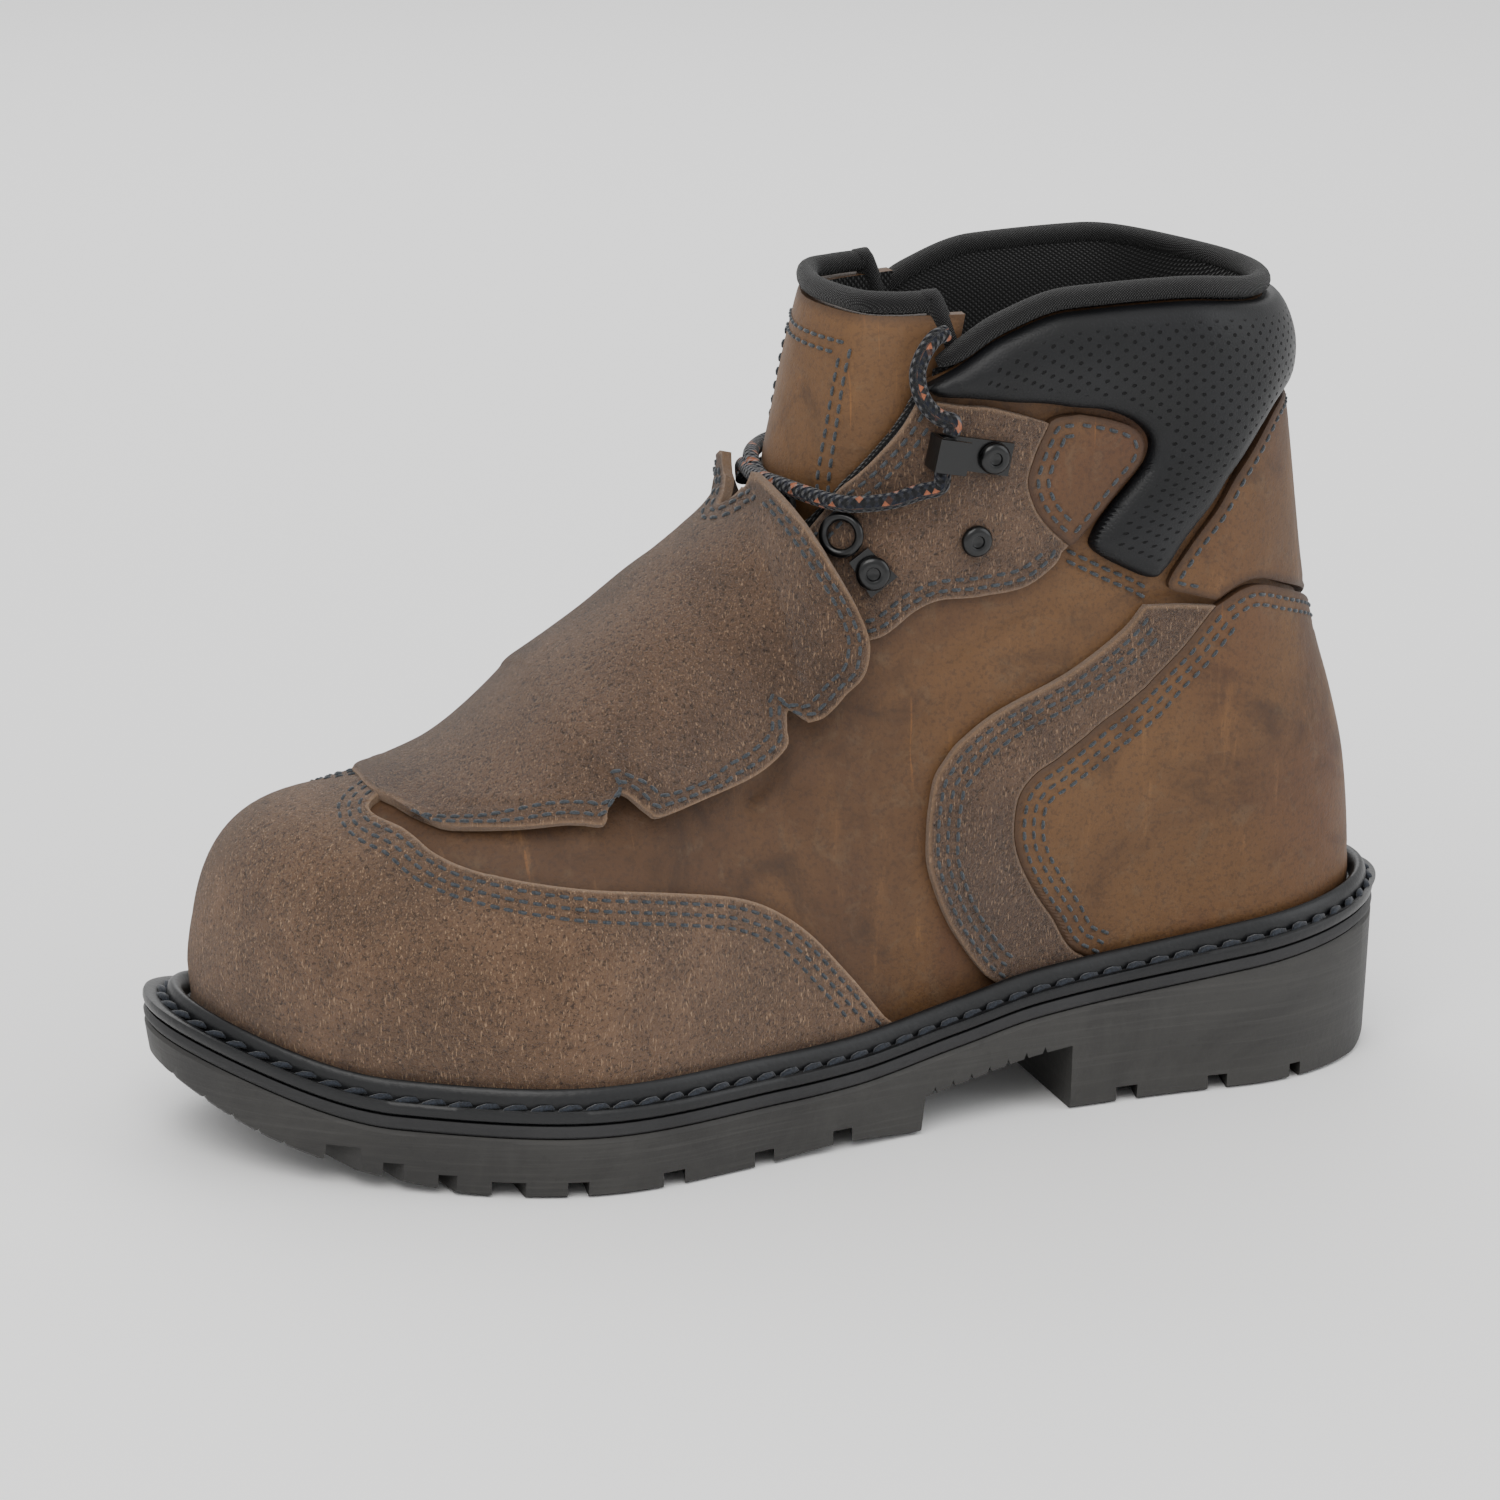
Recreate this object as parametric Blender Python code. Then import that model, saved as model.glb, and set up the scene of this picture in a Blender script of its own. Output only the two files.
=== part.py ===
"""Metatarsal guard boot, left foot, as the pieces that a maker puts together.

Metres, +Z up, toe toward -X, lateral side toward -Y, origin on the floor under the middle of the sole.
Every curved piece is read from one function, form(), which gives the outer face of the bare upper.
"""
import math

import bmesh
import bpy
import numpy as np

MM = 0.001
GAP = 0.3 * MM
SOLE_GAP = 0.5 * MM
LAYER_GAP = 0.6 * MM

# Driving sizes of the last, the sole and the shaft
LENGTH = 312 * MM
BALL_WIDTH = 117.4 * MM
SEAT_HEIGHT = 35.9 * MM
SHAFT_HEIGHT = 150 * MM
SHAFT_WIDTH = 67 * MM
TOE_BOX_HEIGHT = 59 * MM
PLAN_SHIFT = 3.5 * MM

# Sole
HEEL_ROUND = 0.15
TOE_ROUND = 0.30
OUTSOLE_TAPER = 1.5 * MM
MIDSOLE_THICK = 3.2 * MM
WELT_THICK = 3.2 * MM
WELT_BEAD = 4.2 * MM
BEAD_WIDTH = 4.6 * MM
WELT_LEDGE = 7 * MM
FILLER_INSET = 27 * MM
HEEL_BREAST = 62 * MM
ARCH_END = 22 * MM
ARCH_THICK = 9.5 * MM
GROOVE_DEPTH = 4 * MM
GROOVE_REACH = 24 * MM
RIB_PITCH = 5 * MM
RIB_DEPTH = 1.6 * MM
TOE_RIBS = 5
ARCH_RIBS = 7

# Upper and its layers
WALL = 2.2 * MM
LAYER = 2.0 * MM
COUNTER_LAYER = 2.4 * MM
FEATHER_INSET = 10.4 * MM
TOE_INSET = 13.5 * MM
BULGE = 2.5 * MM
UPPER_TUCK = 3.6 * MM
INSOLE_THICK = 3 * MM
INSOLE_CLEAR = 1.2 * MM
PAD_THICK = 5.5 * MM
ROLL_RADIUS = 2.6 * MM
TONGUE_THICK = 3.6 * MM
GUARD_THICK = 3.0 * MM
GUARD_LIFT = 4.8 * MM
GUARD_END_LIFT = 3.6 * MM

# Hardware and lace
LACE = 4 * MM
RIVET_RADIUS = 3.4 * MM
RIVET_HEIGHT = 1.5 * MM
PLATE_THICK = 1.2 * MM
RING_RADIUS = 4.4 * MM
RING_WIRE = 1.1 * MM
HOOK_WIDTH = 8 * MM
HOOK_REACH = 16.5 * MM
HOOK_MOUTH = LACE + 3 * GAP
ON_LEATHER = LAYER_GAP + LAYER + 2 * GAP

SIDES = (("lateral", -1), ("medial", 1))

# Half width and offset (toward medial) as shares of the ball width, height of the outsole's top as a share of the seat
PLAN_COLUMNS = ("share", "half", "offset", "line")
PLAN = (
    (0.00, 0.326, 0.000, 1.000),
    (0.10, 0.326, 0.000, 0.905),
    (0.20, 0.326, -0.001, 0.810),
    (0.33, 0.331, -0.017, 0.697),
    (0.40, 0.345, -0.028, 0.580),
    (0.50, 0.388, -0.041, 0.445),
    (0.55, 0.412, -0.043, 0.424),
    (0.70, 0.500, -0.031, 0.413),
    (0.85, 0.462, 0.026, 0.441),
    (1.00, 0.435, 0.095, 0.807),
)
# Underside of the tread before its cuts, as a share of the seat height
TREAD_COLUMNS = ("share", "height")
TREAD = (
    (0.00, 0.14),
    (0.04, 0.00),
    (0.40, 0.00),
    (0.50, 0.045),
    (0.58, 0.000),
    (0.78, 0.000),
    (0.86, 0.09),
    (0.93, 0.26),
    (1.00, 0.58),
)
# Ridge height above the featherline as a share of the toe box height, and how square the section is
RIDGE_COLUMNS = ("share", "height", "square")
RIDGE = (
    (0.96, 1.00, 2.7),
    (0.87, 0.995, 2.7),
    (0.805, 1.045, 2.6),
    (0.776, 1.10, 2.4),
    (0.702, 1.355, 2.05),
    (0.638, 1.575, 1.9),
    (0.600, 1.72, 1.9),
    (0.558, 1.86, 2.0),
    (0.529, 1.97, 2.15),
    (0.511, 2.11, 2.3),
    (0.503, 2.29, 2.4),
    (0.491, 2.60, 2.5),
    (0.484, 2.80, 2.5),
    (0.470, 3.25, 2.5),
    (0.400, 5.60, 2.6),
    (0.000, 17.0, 2.6),
)
# Along the height of the shaft: the heel's back as a share of half the length, half width as a share of the shaft width
BACK_COLUMNS = ("rise", "back", "half")
BACK = (
    (0.00, 0.937, 0.480),
    (0.08, 0.932, 0.495),
    (0.20, 0.918, 0.492),
    (0.32, 0.890, 0.475),
    (0.42, 0.862, 0.462),
    (0.50, 0.845, 0.460),
    (0.65, 0.823, 0.466),
    (0.78, 0.806, 0.478),
    (0.90, 0.789, 0.490),
    (1.00, 0.770, 0.500),
)
# Collar line above the floor of the foot bed, as a share of the shaft height
COLLAR_COLUMNS = ("share", "height")
COLLAR = (
    (0.00, 1.035),
    (0.13, 1.060),
    (0.22, 1.085),
    (0.31, 1.080),
    (0.365, 1.045),
    (0.405, 0.995),
    (0.440, 0.970),
    (0.480, 0.960),
    (1.00, 0.960),
)


def column(table, columns, name):
    return np.array([row[columns.index(name)] for row in table], float)


def smooth(table, columns, name, where):
    """A table's column at the given places, on a curve that doesn't overshoot its rows."""
    keys = column(table, columns, columns[0])
    values = column(table, columns, name)
    if keys[0] > keys[-1]:
        keys, values = keys[::-1], values[::-1]
    steps = np.diff(keys)
    rises = np.diff(values) / steps
    slopes = np.empty(len(keys))
    slopes[0], slopes[-1] = rises[0], rises[-1]
    same = rises[1:] * rises[:-1] > 0
    first, second = 2 * steps[1:] + steps[:-1], steps[1:] + 2 * steps[:-1]
    safe = np.where(same, rises[:-1] * rises[1:], 1)
    mean = (first + second) * safe / (first * rises[1:] + second * rises[:-1] + (~same))
    slopes[1:-1] = np.where(same, mean, 0)
    where = np.clip(where, keys[0], keys[-1])
    i = np.clip(np.searchsorted(keys, where, side="right") - 1, 0, len(steps) - 1)
    t = (where - keys[i]) / steps[i]
    left = values[i] * (1 + 2 * t) * (1 - t) ** 2 + steps[i] * slopes[i] * t * (1 - t) ** 2
    right = values[i + 1] * t * t * (3 - 2 * t) - steps[i] * slopes[i + 1] * t * t * (1 - t)
    return left + right


def share(x):
    """Share of the length at x, from 0 at the heel to 1 at the toe."""
    return 0.5 - np.asarray(x, float) / LENGTH


def place(along):
    return LENGTH * (0.5 - along)


def ease(value, low, high):
    t = np.clip((value - low) / (high - low), 0, 1)
    return t * t * (3 - 2 * t)


def rounded(value, power):
    return (1 - np.clip(value, 0, 1) ** power) ** (1 / power)


def line(x):
    """Height of the join between outsole and midsole."""
    return SEAT_HEIGHT * smooth(PLAN, PLAN_COLUMNS, "line", share(x))


def midsole_top(x):
    return line(x) + MIDSOLE_THICK


def welt_top(x):
    return midsole_top(x) + SOLE_GAP + WELT_THICK


def feather(x):
    """Height of the featherline, where the upper leaves the welt's bead."""
    return welt_top(x) + WELT_BEAD + GAP


def plan_half(x, heel_tip, toe_tip, inset):
    """Half width of the sole's plan, drawn in by an inset, closed at a heel tip and a toe tip."""
    half = BALL_WIDTH * smooth(PLAN, PLAN_COLUMNS, "half", share(x)) - inset
    heel_start, toe_start = place(HEEL_ROUND), place(1 - TOE_ROUND)
    heel = rounded((x - heel_start) / (heel_tip - heel_start), 1.9)
    toe = rounded((toe_start - x) / (toe_start - toe_tip), 2.12)
    return half * heel * toe


def plan_offset(x):
    return PLAN_SHIFT + BALL_WIDTH * smooth(PLAN, PLAN_COLUMNS, "offset", share(x))


def turn(around):
    """Side (-1 lateral, 1 medial) and share from heel to toe, for a place around the boot: 0 heel, 1 toe, 2 heel."""
    around = np.mod(around, 2)
    return np.where(around <= 1, -1, 1), np.where(around <= 1, around, 2 - around)


def sole_edge(around, inset):
    """Points of the sole's outline, drawn in by an inset, in plan."""
    side, along = turn(around)
    heel_tip, toe_tip = LENGTH / 2 - inset, -LENGTH / 2 + inset
    x = heel_tip + (toe_tip - heel_tip) * (1 - np.cos(math.pi * along)) / 2
    return x, plan_offset(x) + side * plan_half(x, heel_tip, toe_tip, inset)


def ridge_height(x):
    """Height of the upper's ridge above the featherline."""
    height = TOE_BOX_HEIGHT * smooth(RIDGE, RIDGE_COLUMNS, "height", share(x))
    start, tip = place(0.805), -LENGTH / 2 + TOE_INSET
    return height * rounded((start - x) / (start - tip), 2.7)


def collar(x):
    return SEAT_HEIGHT + SHAFT_HEIGHT * smooth(COLLAR, COLLAR_COLUMNS, "height", share(x))


def slice_height(x, rise):
    """Height at x of a slice: rise 0 is the featherline and rise 1 the collar."""
    return feather(x) + rise * (collar(x) - feather(x))


def slice_front(rise):
    """Where a slice meets the ridge."""
    low = np.full(np.shape(rise), -LENGTH / 2 + TOE_INSET)
    high = np.full(np.shape(rise), place(0.38))
    for _ in range(34):
        middle = (low + high) / 2
        above = feather(middle) + ridge_height(middle) > slice_height(middle, rise)
        low, high = np.where(above, low, middle), np.where(above, middle, high)
    return (low + high) / 2


def slice_back(rise):
    return LENGTH / 2 * smooth(BACK, BACK_COLUMNS, "back", rise)


def half_width(x, rise):
    """Half width of the bare upper at x on a slice."""
    upward = np.clip(rise, 0, None)
    back = slice_back(upward)
    heel_start = place(HEEL_ROUND) + (back - place(0.031)) * 0.8
    foot = plan_half(x, place(-1), -LENGTH / 2 + TOE_INSET, FEATHER_INSET)
    shaft = SHAFT_WIDTH * smooth(BACK, BACK_COLUMNS, "half", upward)
    level = upward * (collar(x) - feather(x)) / ridge_height(x)
    swell = BULGE * np.sin(math.pi * np.clip(level / 0.7, 0, 1))
    upper_share = ease(upward, 0.02, 0.34) * ease(x, place(0.70), place(0.40))
    width = (foot + swell) * (1 - upper_share) + shaft * upper_share
    square = smooth(RIDGE, RIDGE_COLUMNS, "square", share(x))
    arch = np.sqrt(np.clip(1 - np.clip(level, 0, 1) ** square, 0, None))
    return width * arch * rounded((x - heel_start) / (back - heel_start), 2.0)


def form(around, rise):
    """Outer face of the bare upper, closed over the instep: around 0 heel, 1 ridge, 2 heel; rise 0 feather, 1 collar."""
    side, along = turn(around)
    upward = np.clip(rise, 0, None)
    front, back = slice_front(upward), slice_back(upward)
    x = back + (front - back) * (1 - np.cos(math.pi * along)) / 2
    centre = PLAN_SHIFT + (plan_offset(x) - PLAN_SHIFT) * (1 - 0.8 * ease(upward, 0.0, 0.7))
    return np.stack([x, centre + side * half_width(x, rise), slice_height(x, rise)], -1)


def form_normal(around, rise):
    step = 2e-3
    around, rise = np.broadcast_arrays(np.asarray(around, float), np.asarray(rise, float))
    across = form(around + step, rise) - form(around - step, rise)
    upward = form(around, rise + step) - form(around, rise - step)
    normal = np.cross(upward, across)
    return normal / np.linalg.norm(normal, axis=-1, keepdims=True)


def skin(around, rise, proud):
    """The form moved out by a distance, or in by a negative one."""
    around, rise = np.broadcast_arrays(np.asarray(around, float), np.asarray(rise, float))
    proud = np.broadcast_to(np.asarray(proud, float), around.shape)
    return form(around, rise) + form_normal(around, rise) * proud[..., None]


def spot(x, z, side):
    """Place around and rise of the form's point at x and z on one side."""
    rise = (z - feather(x)) / (collar(x) - feather(x))
    front, back = slice_front(np.clip(rise, 0, None)), slice_back(np.clip(rise, 0, None))
    along = np.arccos(np.clip(1 - 2 * (x - back) / (front - back), -1, 1)) / math.pi
    return np.where(side < 0, along, 2 - along), rise


def curve_through(points, per_span=4):
    """Points on a smooth curve through hand-chosen ones."""
    points = np.asarray(points, float)
    ends = np.vstack([2 * points[0] - points[1], points, 2 * points[-1] - points[-2]])
    found = []
    for i in range(1, len(ends) - 2):
        a, b, c, d = ends[i - 1 : i + 3]
        for t in np.arange(per_span) / per_span:
            found.append(0.5 * (2 * b + (c - a) * t + (2 * a - 5 * b + 4 * c - d) * t * t + (3 * b - a - 3 * c + d) * t**3))
    found.append(points[-1])
    return np.array(found)


# Materials: colour, roughness, metallic
FINISHES = {
    "leather": ((0.16, 0.072, 0.024), 0.55, 0.0),
    "suede": ((0.19, 0.10, 0.055), 0.95, 0.0),
    "black_leather": ((0.013, 0.014, 0.018), 0.42, 0.0),
    "lining": ((0.006, 0.006, 0.007), 0.9, 0.0),
    "rubber": ((0.062, 0.060, 0.057), 0.6, 0.0),
    "midsole_rubber": ((0.030, 0.031, 0.034), 0.6, 0.0),
    "welt_rubber": ((0.010, 0.011, 0.013), 0.3, 0.0),
    "insole_board": ((0.05, 0.045, 0.04), 0.9, 0.0),
    "black_metal": ((0.010, 0.010, 0.012), 0.35, 0.6),
    "lace_cord": ((0.012, 0.014, 0.022), 0.8, 0.0),
}


def finish(name):
    material = bpy.data.materials.get(name)
    if material is None:
        colour, roughness, metallic = FINISHES[name]
        material = bpy.data.materials.new(name)
        material.use_nodes = True
        shader = material.node_tree.nodes["Principled BSDF"]
        shader.inputs["Base Color"].default_value = (*colour, 1)
        shader.inputs["Roughness"].default_value = roughness
        shader.inputs["Metallic"].default_value = metallic
    return material


def solid(name, points, faces, material, split=True):
    """A closed mesh object, its faces turned outward, shaded smooth and as a rule split into triangles."""
    mesh = bpy.data.meshes.new(name)
    mesh.from_pydata([tuple(p) for p in points], [], [tuple(int(i) for i in f) for f in faces])
    work = bmesh.new()
    work.from_mesh(mesh)
    bmesh.ops.recalc_face_normals(work, faces=work.faces)
    if split:
        bmesh.ops.triangulate(work, faces=work.faces)
    work.to_mesh(mesh)
    work.free()
    mesh.shade_smooth()
    mesh.set_sharp_from_angle(angle=math.radians(40))
    piece = bpy.data.objects.new(name, mesh)
    bpy.context.scene.collection.objects.link(piece)
    mesh.materials.append(finish(material))
    return piece


def cutter(name, points, faces):
    piece = solid(name, points, faces, "rubber", split=False)
    piece.hide_render = True
    piece.display_type = "WIRE"
    return piece


def cut(piece, tool, operation="DIFFERENCE"):
    step = piece.modifiers.new(tool.name, "BOOLEAN")
    step.object = tool
    step.operation = operation


def grid_faces(rows, columns, first=0, closed=False):
    faces = []
    for j in range(rows - 1):
        for k in range(columns if closed else columns - 1):
            a, b = first + j * columns + k, first + j * columns + (k + 1) % columns
            faces.append((a, b, b + columns, a + columns))
    return faces


def patch(name, inner, outer, material):
    """A sheet with thickness between two grids of points, each rows by columns."""
    rows, columns = inner.shape[:2]
    points = np.vstack([outer.reshape(-1, 3), inner.reshape(-1, 3)])
    count = rows * columns
    faces = grid_faces(rows, columns) + [f[::-1] for f in grid_faces(rows, columns, count)]
    rim = [k for k in range(columns)]
    rim += [j * columns + columns - 1 for j in range(1, rows)]
    rim += [(rows - 1) * columns + k for k in range(columns - 2, -1, -1)]
    rim += [j * columns for j in range(rows - 2, 0, -1)]
    for a, b in zip(rim, rim[1:] + rim[:1]):
        faces.append((a, a + count, b + count, b))
    return solid(name, points, faces, material)


def tube(name, path, radius, material, sides=6):
    """A round cord along points, with closed ends."""
    path = np.asarray(path, float)
    ahead = np.gradient(path, axis=0)
    ahead /= np.linalg.norm(ahead, axis=1, keepdims=True)
    up = np.array([0.0, 0.0, 1.0])
    points = []
    for point, way in zip(path, ahead):
        across = np.cross(way, up)
        if np.linalg.norm(across) < 0.2:
            across = np.cross(way, np.array([1.0, 0.0, 0.0]))
        across /= np.linalg.norm(across)
        above = np.cross(across, way)
        for k in range(sides):
            angle = 2 * math.pi * (k + 0.5) / sides
            points.append(point + radius * (math.cos(angle) * across + math.sin(angle) * above))
    faces = grid_faces(len(path), sides, closed=True)
    faces.append(tuple(range(sides))[::-1])
    faces.append(tuple((len(path) - 1) * sides + k for k in range(sides)))
    return solid(name, points, faces, material)


# The upper's net of points, shared by its layers so that their facets lie parallel
NET_COLUMNS = 18
NET_ROWS = 11


def net():
    """Places around and rises of the upper's net, its rises evenly spaced along ridge and heel together."""
    around = np.arange(2 * NET_COLUMNS) / NET_COLUMNS
    rises = np.linspace(0, 1, 300)
    ridge, heel = form(1.0, rises), form(0.0, rises)
    walk = np.linalg.norm(np.diff(ridge, axis=0), axis=1) + 0.8 * np.linalg.norm(np.diff(heel, axis=0), axis=1)
    walked = np.r_[0, np.cumsum(walk)] / walk.sum()
    return around, np.interp(np.linspace(0, 1, NET_ROWS), walked, rises)


AROUND, RISES = net()
TUCK_RISE = -UPPER_TUCK / SHAFT_HEIGHT


def shell(name, inner, outer, material):
    """The whole form as a hollow wall, open at the collar and underneath."""
    rises = np.r_[TUCK_RISE, RISES]
    around, rise = np.meshgrid(AROUND, rises)
    far, near = skin(around, rise, outer), skin(around, rise, inner)
    rows, columns = around.shape
    count = rows * columns
    points = np.vstack([far.reshape(-1, 3), near.reshape(-1, 3)])
    faces = grid_faces(rows, columns, 0, True) + [f[::-1] for f in grid_faces(rows, columns, count, True)]
    for k in range(columns):
        nxt = (k + 1) % columns
        faces.append((k, k + count, nxt + count, nxt))
        top = (rows - 1) * columns
        faces.append((top + k, top + nxt, top + nxt + count, top + k + count))
    return solid(name, points, faces, material)


def side_prism(name, outline, side):
    """A cutter with an outline in the side view, on one side of the boot or through both (side 0)."""
    low = -BALL_WIDTH if side <= 0 else PLAN_SHIFT
    high = BALL_WIDTH if side >= 0 else PLAN_SHIFT
    count = len(outline)
    points = [(x, low, z) for x, z in outline] + [(x, high, z) for x, z in outline]
    faces = [tuple(range(count)), tuple(range(2 * count - 1, count - 1, -1))]
    faces += [(k, (k + 1) % count, (k + 1) % count + count, k + count) for k in range(count)]
    return cutter(name, points, faces)


def in_side_view(points):
    """Side-view points from shares: along the length, and of the shaft height above the seat's height."""
    return [(place(along), SEAT_HEIGHT + SHAFT_HEIGHT * height) for along, height in points]


def clear_scene():
    for piece in list(bpy.data.objects):
        bpy.data.objects.remove(piece, do_unlink=True)


SOLE_STATIONS = 23


def stack(name, layers, material):
    """A slab lofted through outlines, each an inset and a height function, from below to above."""
    around = np.arange(2 * SOLE_STATIONS) / SOLE_STATIONS
    count = len(around)
    points, faces = [], []
    for inset, height in layers:
        x, y = sole_edge(around, inset)
        points.append(np.stack([x, y, height(x)], -1))
    faces += grid_faces(len(layers), count, 0, True)
    for first, flip in ((0, 1), ((len(layers) - 1) * count, -1)):
        for k in range(SOLE_STATIONS):
            ring = [k, k + 1, (count - k - 1) % count, (count - k) % count]
            corners = list(dict.fromkeys(ring))
            if len(corners) > 2:
                faces.append(tuple(first + i for i in corners[::flip]))
    return solid(name, np.vstack(points), faces, material)


def tread(x):
    return SEAT_HEIGHT * smooth(TREAD, TREAD_COLUMNS, "height", share(x))


def block(centre, size, turned=0.0):
    """Corners and faces of a box turned about the vertical."""
    c, s = math.cos(turned), math.sin(turned)
    points = []
    for k in range(8):
        x, y, z = (size[i] / 2 * (1 if k >> i & 1 else -1) for i in range(3))
        points.append((centre[0] + c * x - s * y, centre[1] + s * x + c * y, centre[2] + z))
    return points, [(0, 2, 3, 1), (4, 5, 7, 6), (0, 1, 5, 4), (2, 6, 7, 3), (0, 4, 6, 2), (1, 3, 7, 5)]


def joined(parts):
    points, faces = [], []
    for more, sides in parts:
        faces += [tuple(i + len(points) for i in side) for side in sides]
        points += more
    return points, faces


# Side grooves between the lugs: where along the length, how wide, and how the cut leans
GROOVE_COLUMNS = ("share", "width", "lean")
GROOVES = (
    (0.105, 3.2 * MM, 0.0),
    (0.170, 5.0 * MM, 0.2),
    (0.248, 5.5 * MM, 0.2),
    (0.494, 4.5 * MM, 0.35),
    (0.562, 4.5 * MM, 0.35),
    (0.642, 5.0 * MM, 0.30),
    (0.722, 5.0 * MM, 0.15),
    (0.775, 7.5 * MM, 0.0),
    (0.822, 3.5 * MM, -0.2),
    (0.862, 3.5 * MM, -0.3),
    (0.905, 4.5 * MM, -0.5),
)


def groove_blocks():
    parts = []
    for along, width, lean in (row for row in GROOVES):
        x = place(along)
        for side in (-1, 1):
            edge = float(plan_offset(x) + side * plan_half(x, LENGTH / 2, -LENGTH / 2, 0))
            middle = edge - side * (GROOVE_REACH / 2 - 4 * MM)
            height = float(tread(x)) + GROOVE_DEPTH - 10 * MM
            parts.append(block((x, middle, height), (width, GROOVE_REACH + 8 * MM, 20 * MM), side * lean))
    return joined(parts)


def rib_row(start, count, surface):
    """Small vee cuts right across the sole, for the fine ribs."""
    parts = []
    for k in range(count):
        x = start - RIB_PITCH * k
        z = float(surface(x))
        half = RIB_PITCH * 0.36
        ends = []
        for y in (-BALL_WIDTH, BALL_WIDTH):
            ends += [(x - half, y, z - 3 * MM), (x + half, y, z - 3 * MM), (x, y, z + RIB_DEPTH)]
        parts.append((ends, [(0, 2, 1), (3, 4, 5), (0, 1, 4, 3), (1, 2, 5, 4), (2, 0, 3, 5)]))
    return parts


def arch_underside(x):
    return line(x) - ARCH_THICK


def make_outsole():
    outsole = stack("outsole", [(OUTSOLE_TAPER, tread), (0, lambda x: line(x) - GAP / 2)], "rubber")
    spans = np.linspace(HEEL_BREAST, ARCH_END, 9)
    outline = [(HEEL_BREAST, -10 * MM)] + [(x, float(arch_underside(x))) for x in spans]
    outline.append((ARCH_END - 2 * MM, -10 * MM))
    cut(outsole, side_prism("arch_cut", outline, 0))
    cut(outsole, cutter("groove_cut", *groove_blocks()))
    toe = rib_row(place(0.925), TOE_RIBS, tread)
    arch = rib_row(HEEL_BREAST - 7.4 * MM, ARCH_RIBS, arch_underside)
    cut(outsole, cutter("rib_cut", *joined(toe + arch)))
    return outsole


def make_midsole():
    """The midsole, raised in the middle as the filler that the insole lies on."""
    layers = [(0, lambda x: line(x) + GAP / 2)]
    layers += [(FILLER_INSET * part, midsole_top) for part in (0, 0.25, 0.5, 0.75, 1)]
    layers.append((FILLER_INSET, welt_top))
    return stack("midsole", layers, "midsole_rubber")


def base_plan(around, proud):
    """Plan of the bare upper at the featherline, moved out by a distance."""
    point = skin(around, 0.0, proud)
    return point[..., 0], point[..., 1]


def make_welt():
    """Flat strip out to the sole's edge, a ledge under the upper, and a rounded bead against its layers."""
    around = np.arange(2 * SOLE_STATIONS) / SOLE_STATIONS
    inner_clear = LAYER_GAP + COUNTER_LAYER + 2 * GAP
    ledge_x, ledge_y = base_plan(around, -WELT_LEDGE)
    near_x, near_y = base_plan(around, inner_clear)
    edge_x, edge_y = sole_edge(around, 0)
    ring = []
    near = np.stack([near_x, near_y], -1)
    edge = np.stack([edge_x, edge_y], -1)
    ledge = np.stack([ledge_x, ledge_y], -1)
    reach = edge - near
    width = np.linalg.norm(reach, axis=1, keepdims=True)
    crest = near + reach / width * BEAD_WIDTH

    def at(plan, rise):
        return np.column_stack([plan, midsole_top(plan[:, 0]) + SOLE_GAP + rise])

    flat = WELT_THICK
    ring = [
        at(ledge, 0.0),
        at(near, 0.0),
        at((near + edge) / 2, 0.0),
        at(edge, 0.0),
        at(edge, flat),
        at(crest, flat),
        at(near + (crest - near) * 0.86, flat + WELT_BEAD * 0.62),
        at(near + (crest - near) * 0.45, flat + WELT_BEAD * 0.98),
        at(near, flat + WELT_BEAD * 0.55),
        at(near, flat),
        at(ledge, flat),
    ]
    count = len(around)
    faces = grid_faces(len(ring), count, 0, True)
    last = (len(ring) - 1) * count
    faces += [(last + k, last + (k + 1) % count, (k + 1) % count, k) for k in range(count)]
    return solid("welt", np.vstack(ring), faces, "welt_rubber")


def make_insole():
    around = np.arange(2 * SOLE_STATIONS) / SOLE_STATIONS
    x, y = base_plan(around, -WALL - INSOLE_CLEAR)
    low = welt_top(x) + GAP
    count = len(around)
    points = np.vstack([np.column_stack([x, y, low]), np.column_stack([x, y, low + INSOLE_THICK])])
    faces = grid_faces(2, count, 0, True)
    for first, flip in ((0, 1), (count, -1)):
        for k in range(SOLE_STATIONS):
            corners = list(dict.fromkeys([k, k + 1, (count - k - 1) % count, (count - k) % count]))
            if len(corners) > 2:
                faces.append(tuple(first + i for i in corners[::flip]))
    return solid("insole", points, faces, "insole_board")


# Edges in the side view: share of the length, share of the shaft height above the seat
THROAT = (
    (0.422, 1.100),
    (0.422, 1.000),
    (0.428, 0.951),
    (0.440, 0.907),
    (0.455, 0.867),
    (0.468, 0.835),
    (0.482, 0.800),
    (0.500, 0.745),
    (0.524, 0.690),
    (0.560, 0.662),
    (0.620, 0.650),
)
CAP_EDGE = (
    (0.445, -0.100),
    (0.476, 0.000),
    (0.496, 0.050),
    (0.522, 0.110),
    (0.548, 0.152),
    (0.577, 0.181),
    (0.615, 0.201),
    (0.665, 0.219),
    (0.720, 0.232),
    (0.755, 0.241),
    (0.784, 0.253),
    (0.805, 0.271),
    (0.821, 0.297),
    (0.836, 0.325),
    (0.843, 0.350),
    (0.844, 0.420),
)
SADDLE_FRONT = (
    (0.241, 0.588),
    (0.259, 0.547),
    (0.312, 0.478),
    (0.364, 0.431),
    (0.391, 0.393),
    (0.407, 0.356),
    (0.417, 0.306),
    (0.421, 0.246),
    (0.421, 0.198),
    (0.413, 0.143),
    (0.401, 0.089),
    (0.386, 0.041),
    (0.371, 0.000),
    (0.352, -0.060),
)
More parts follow.
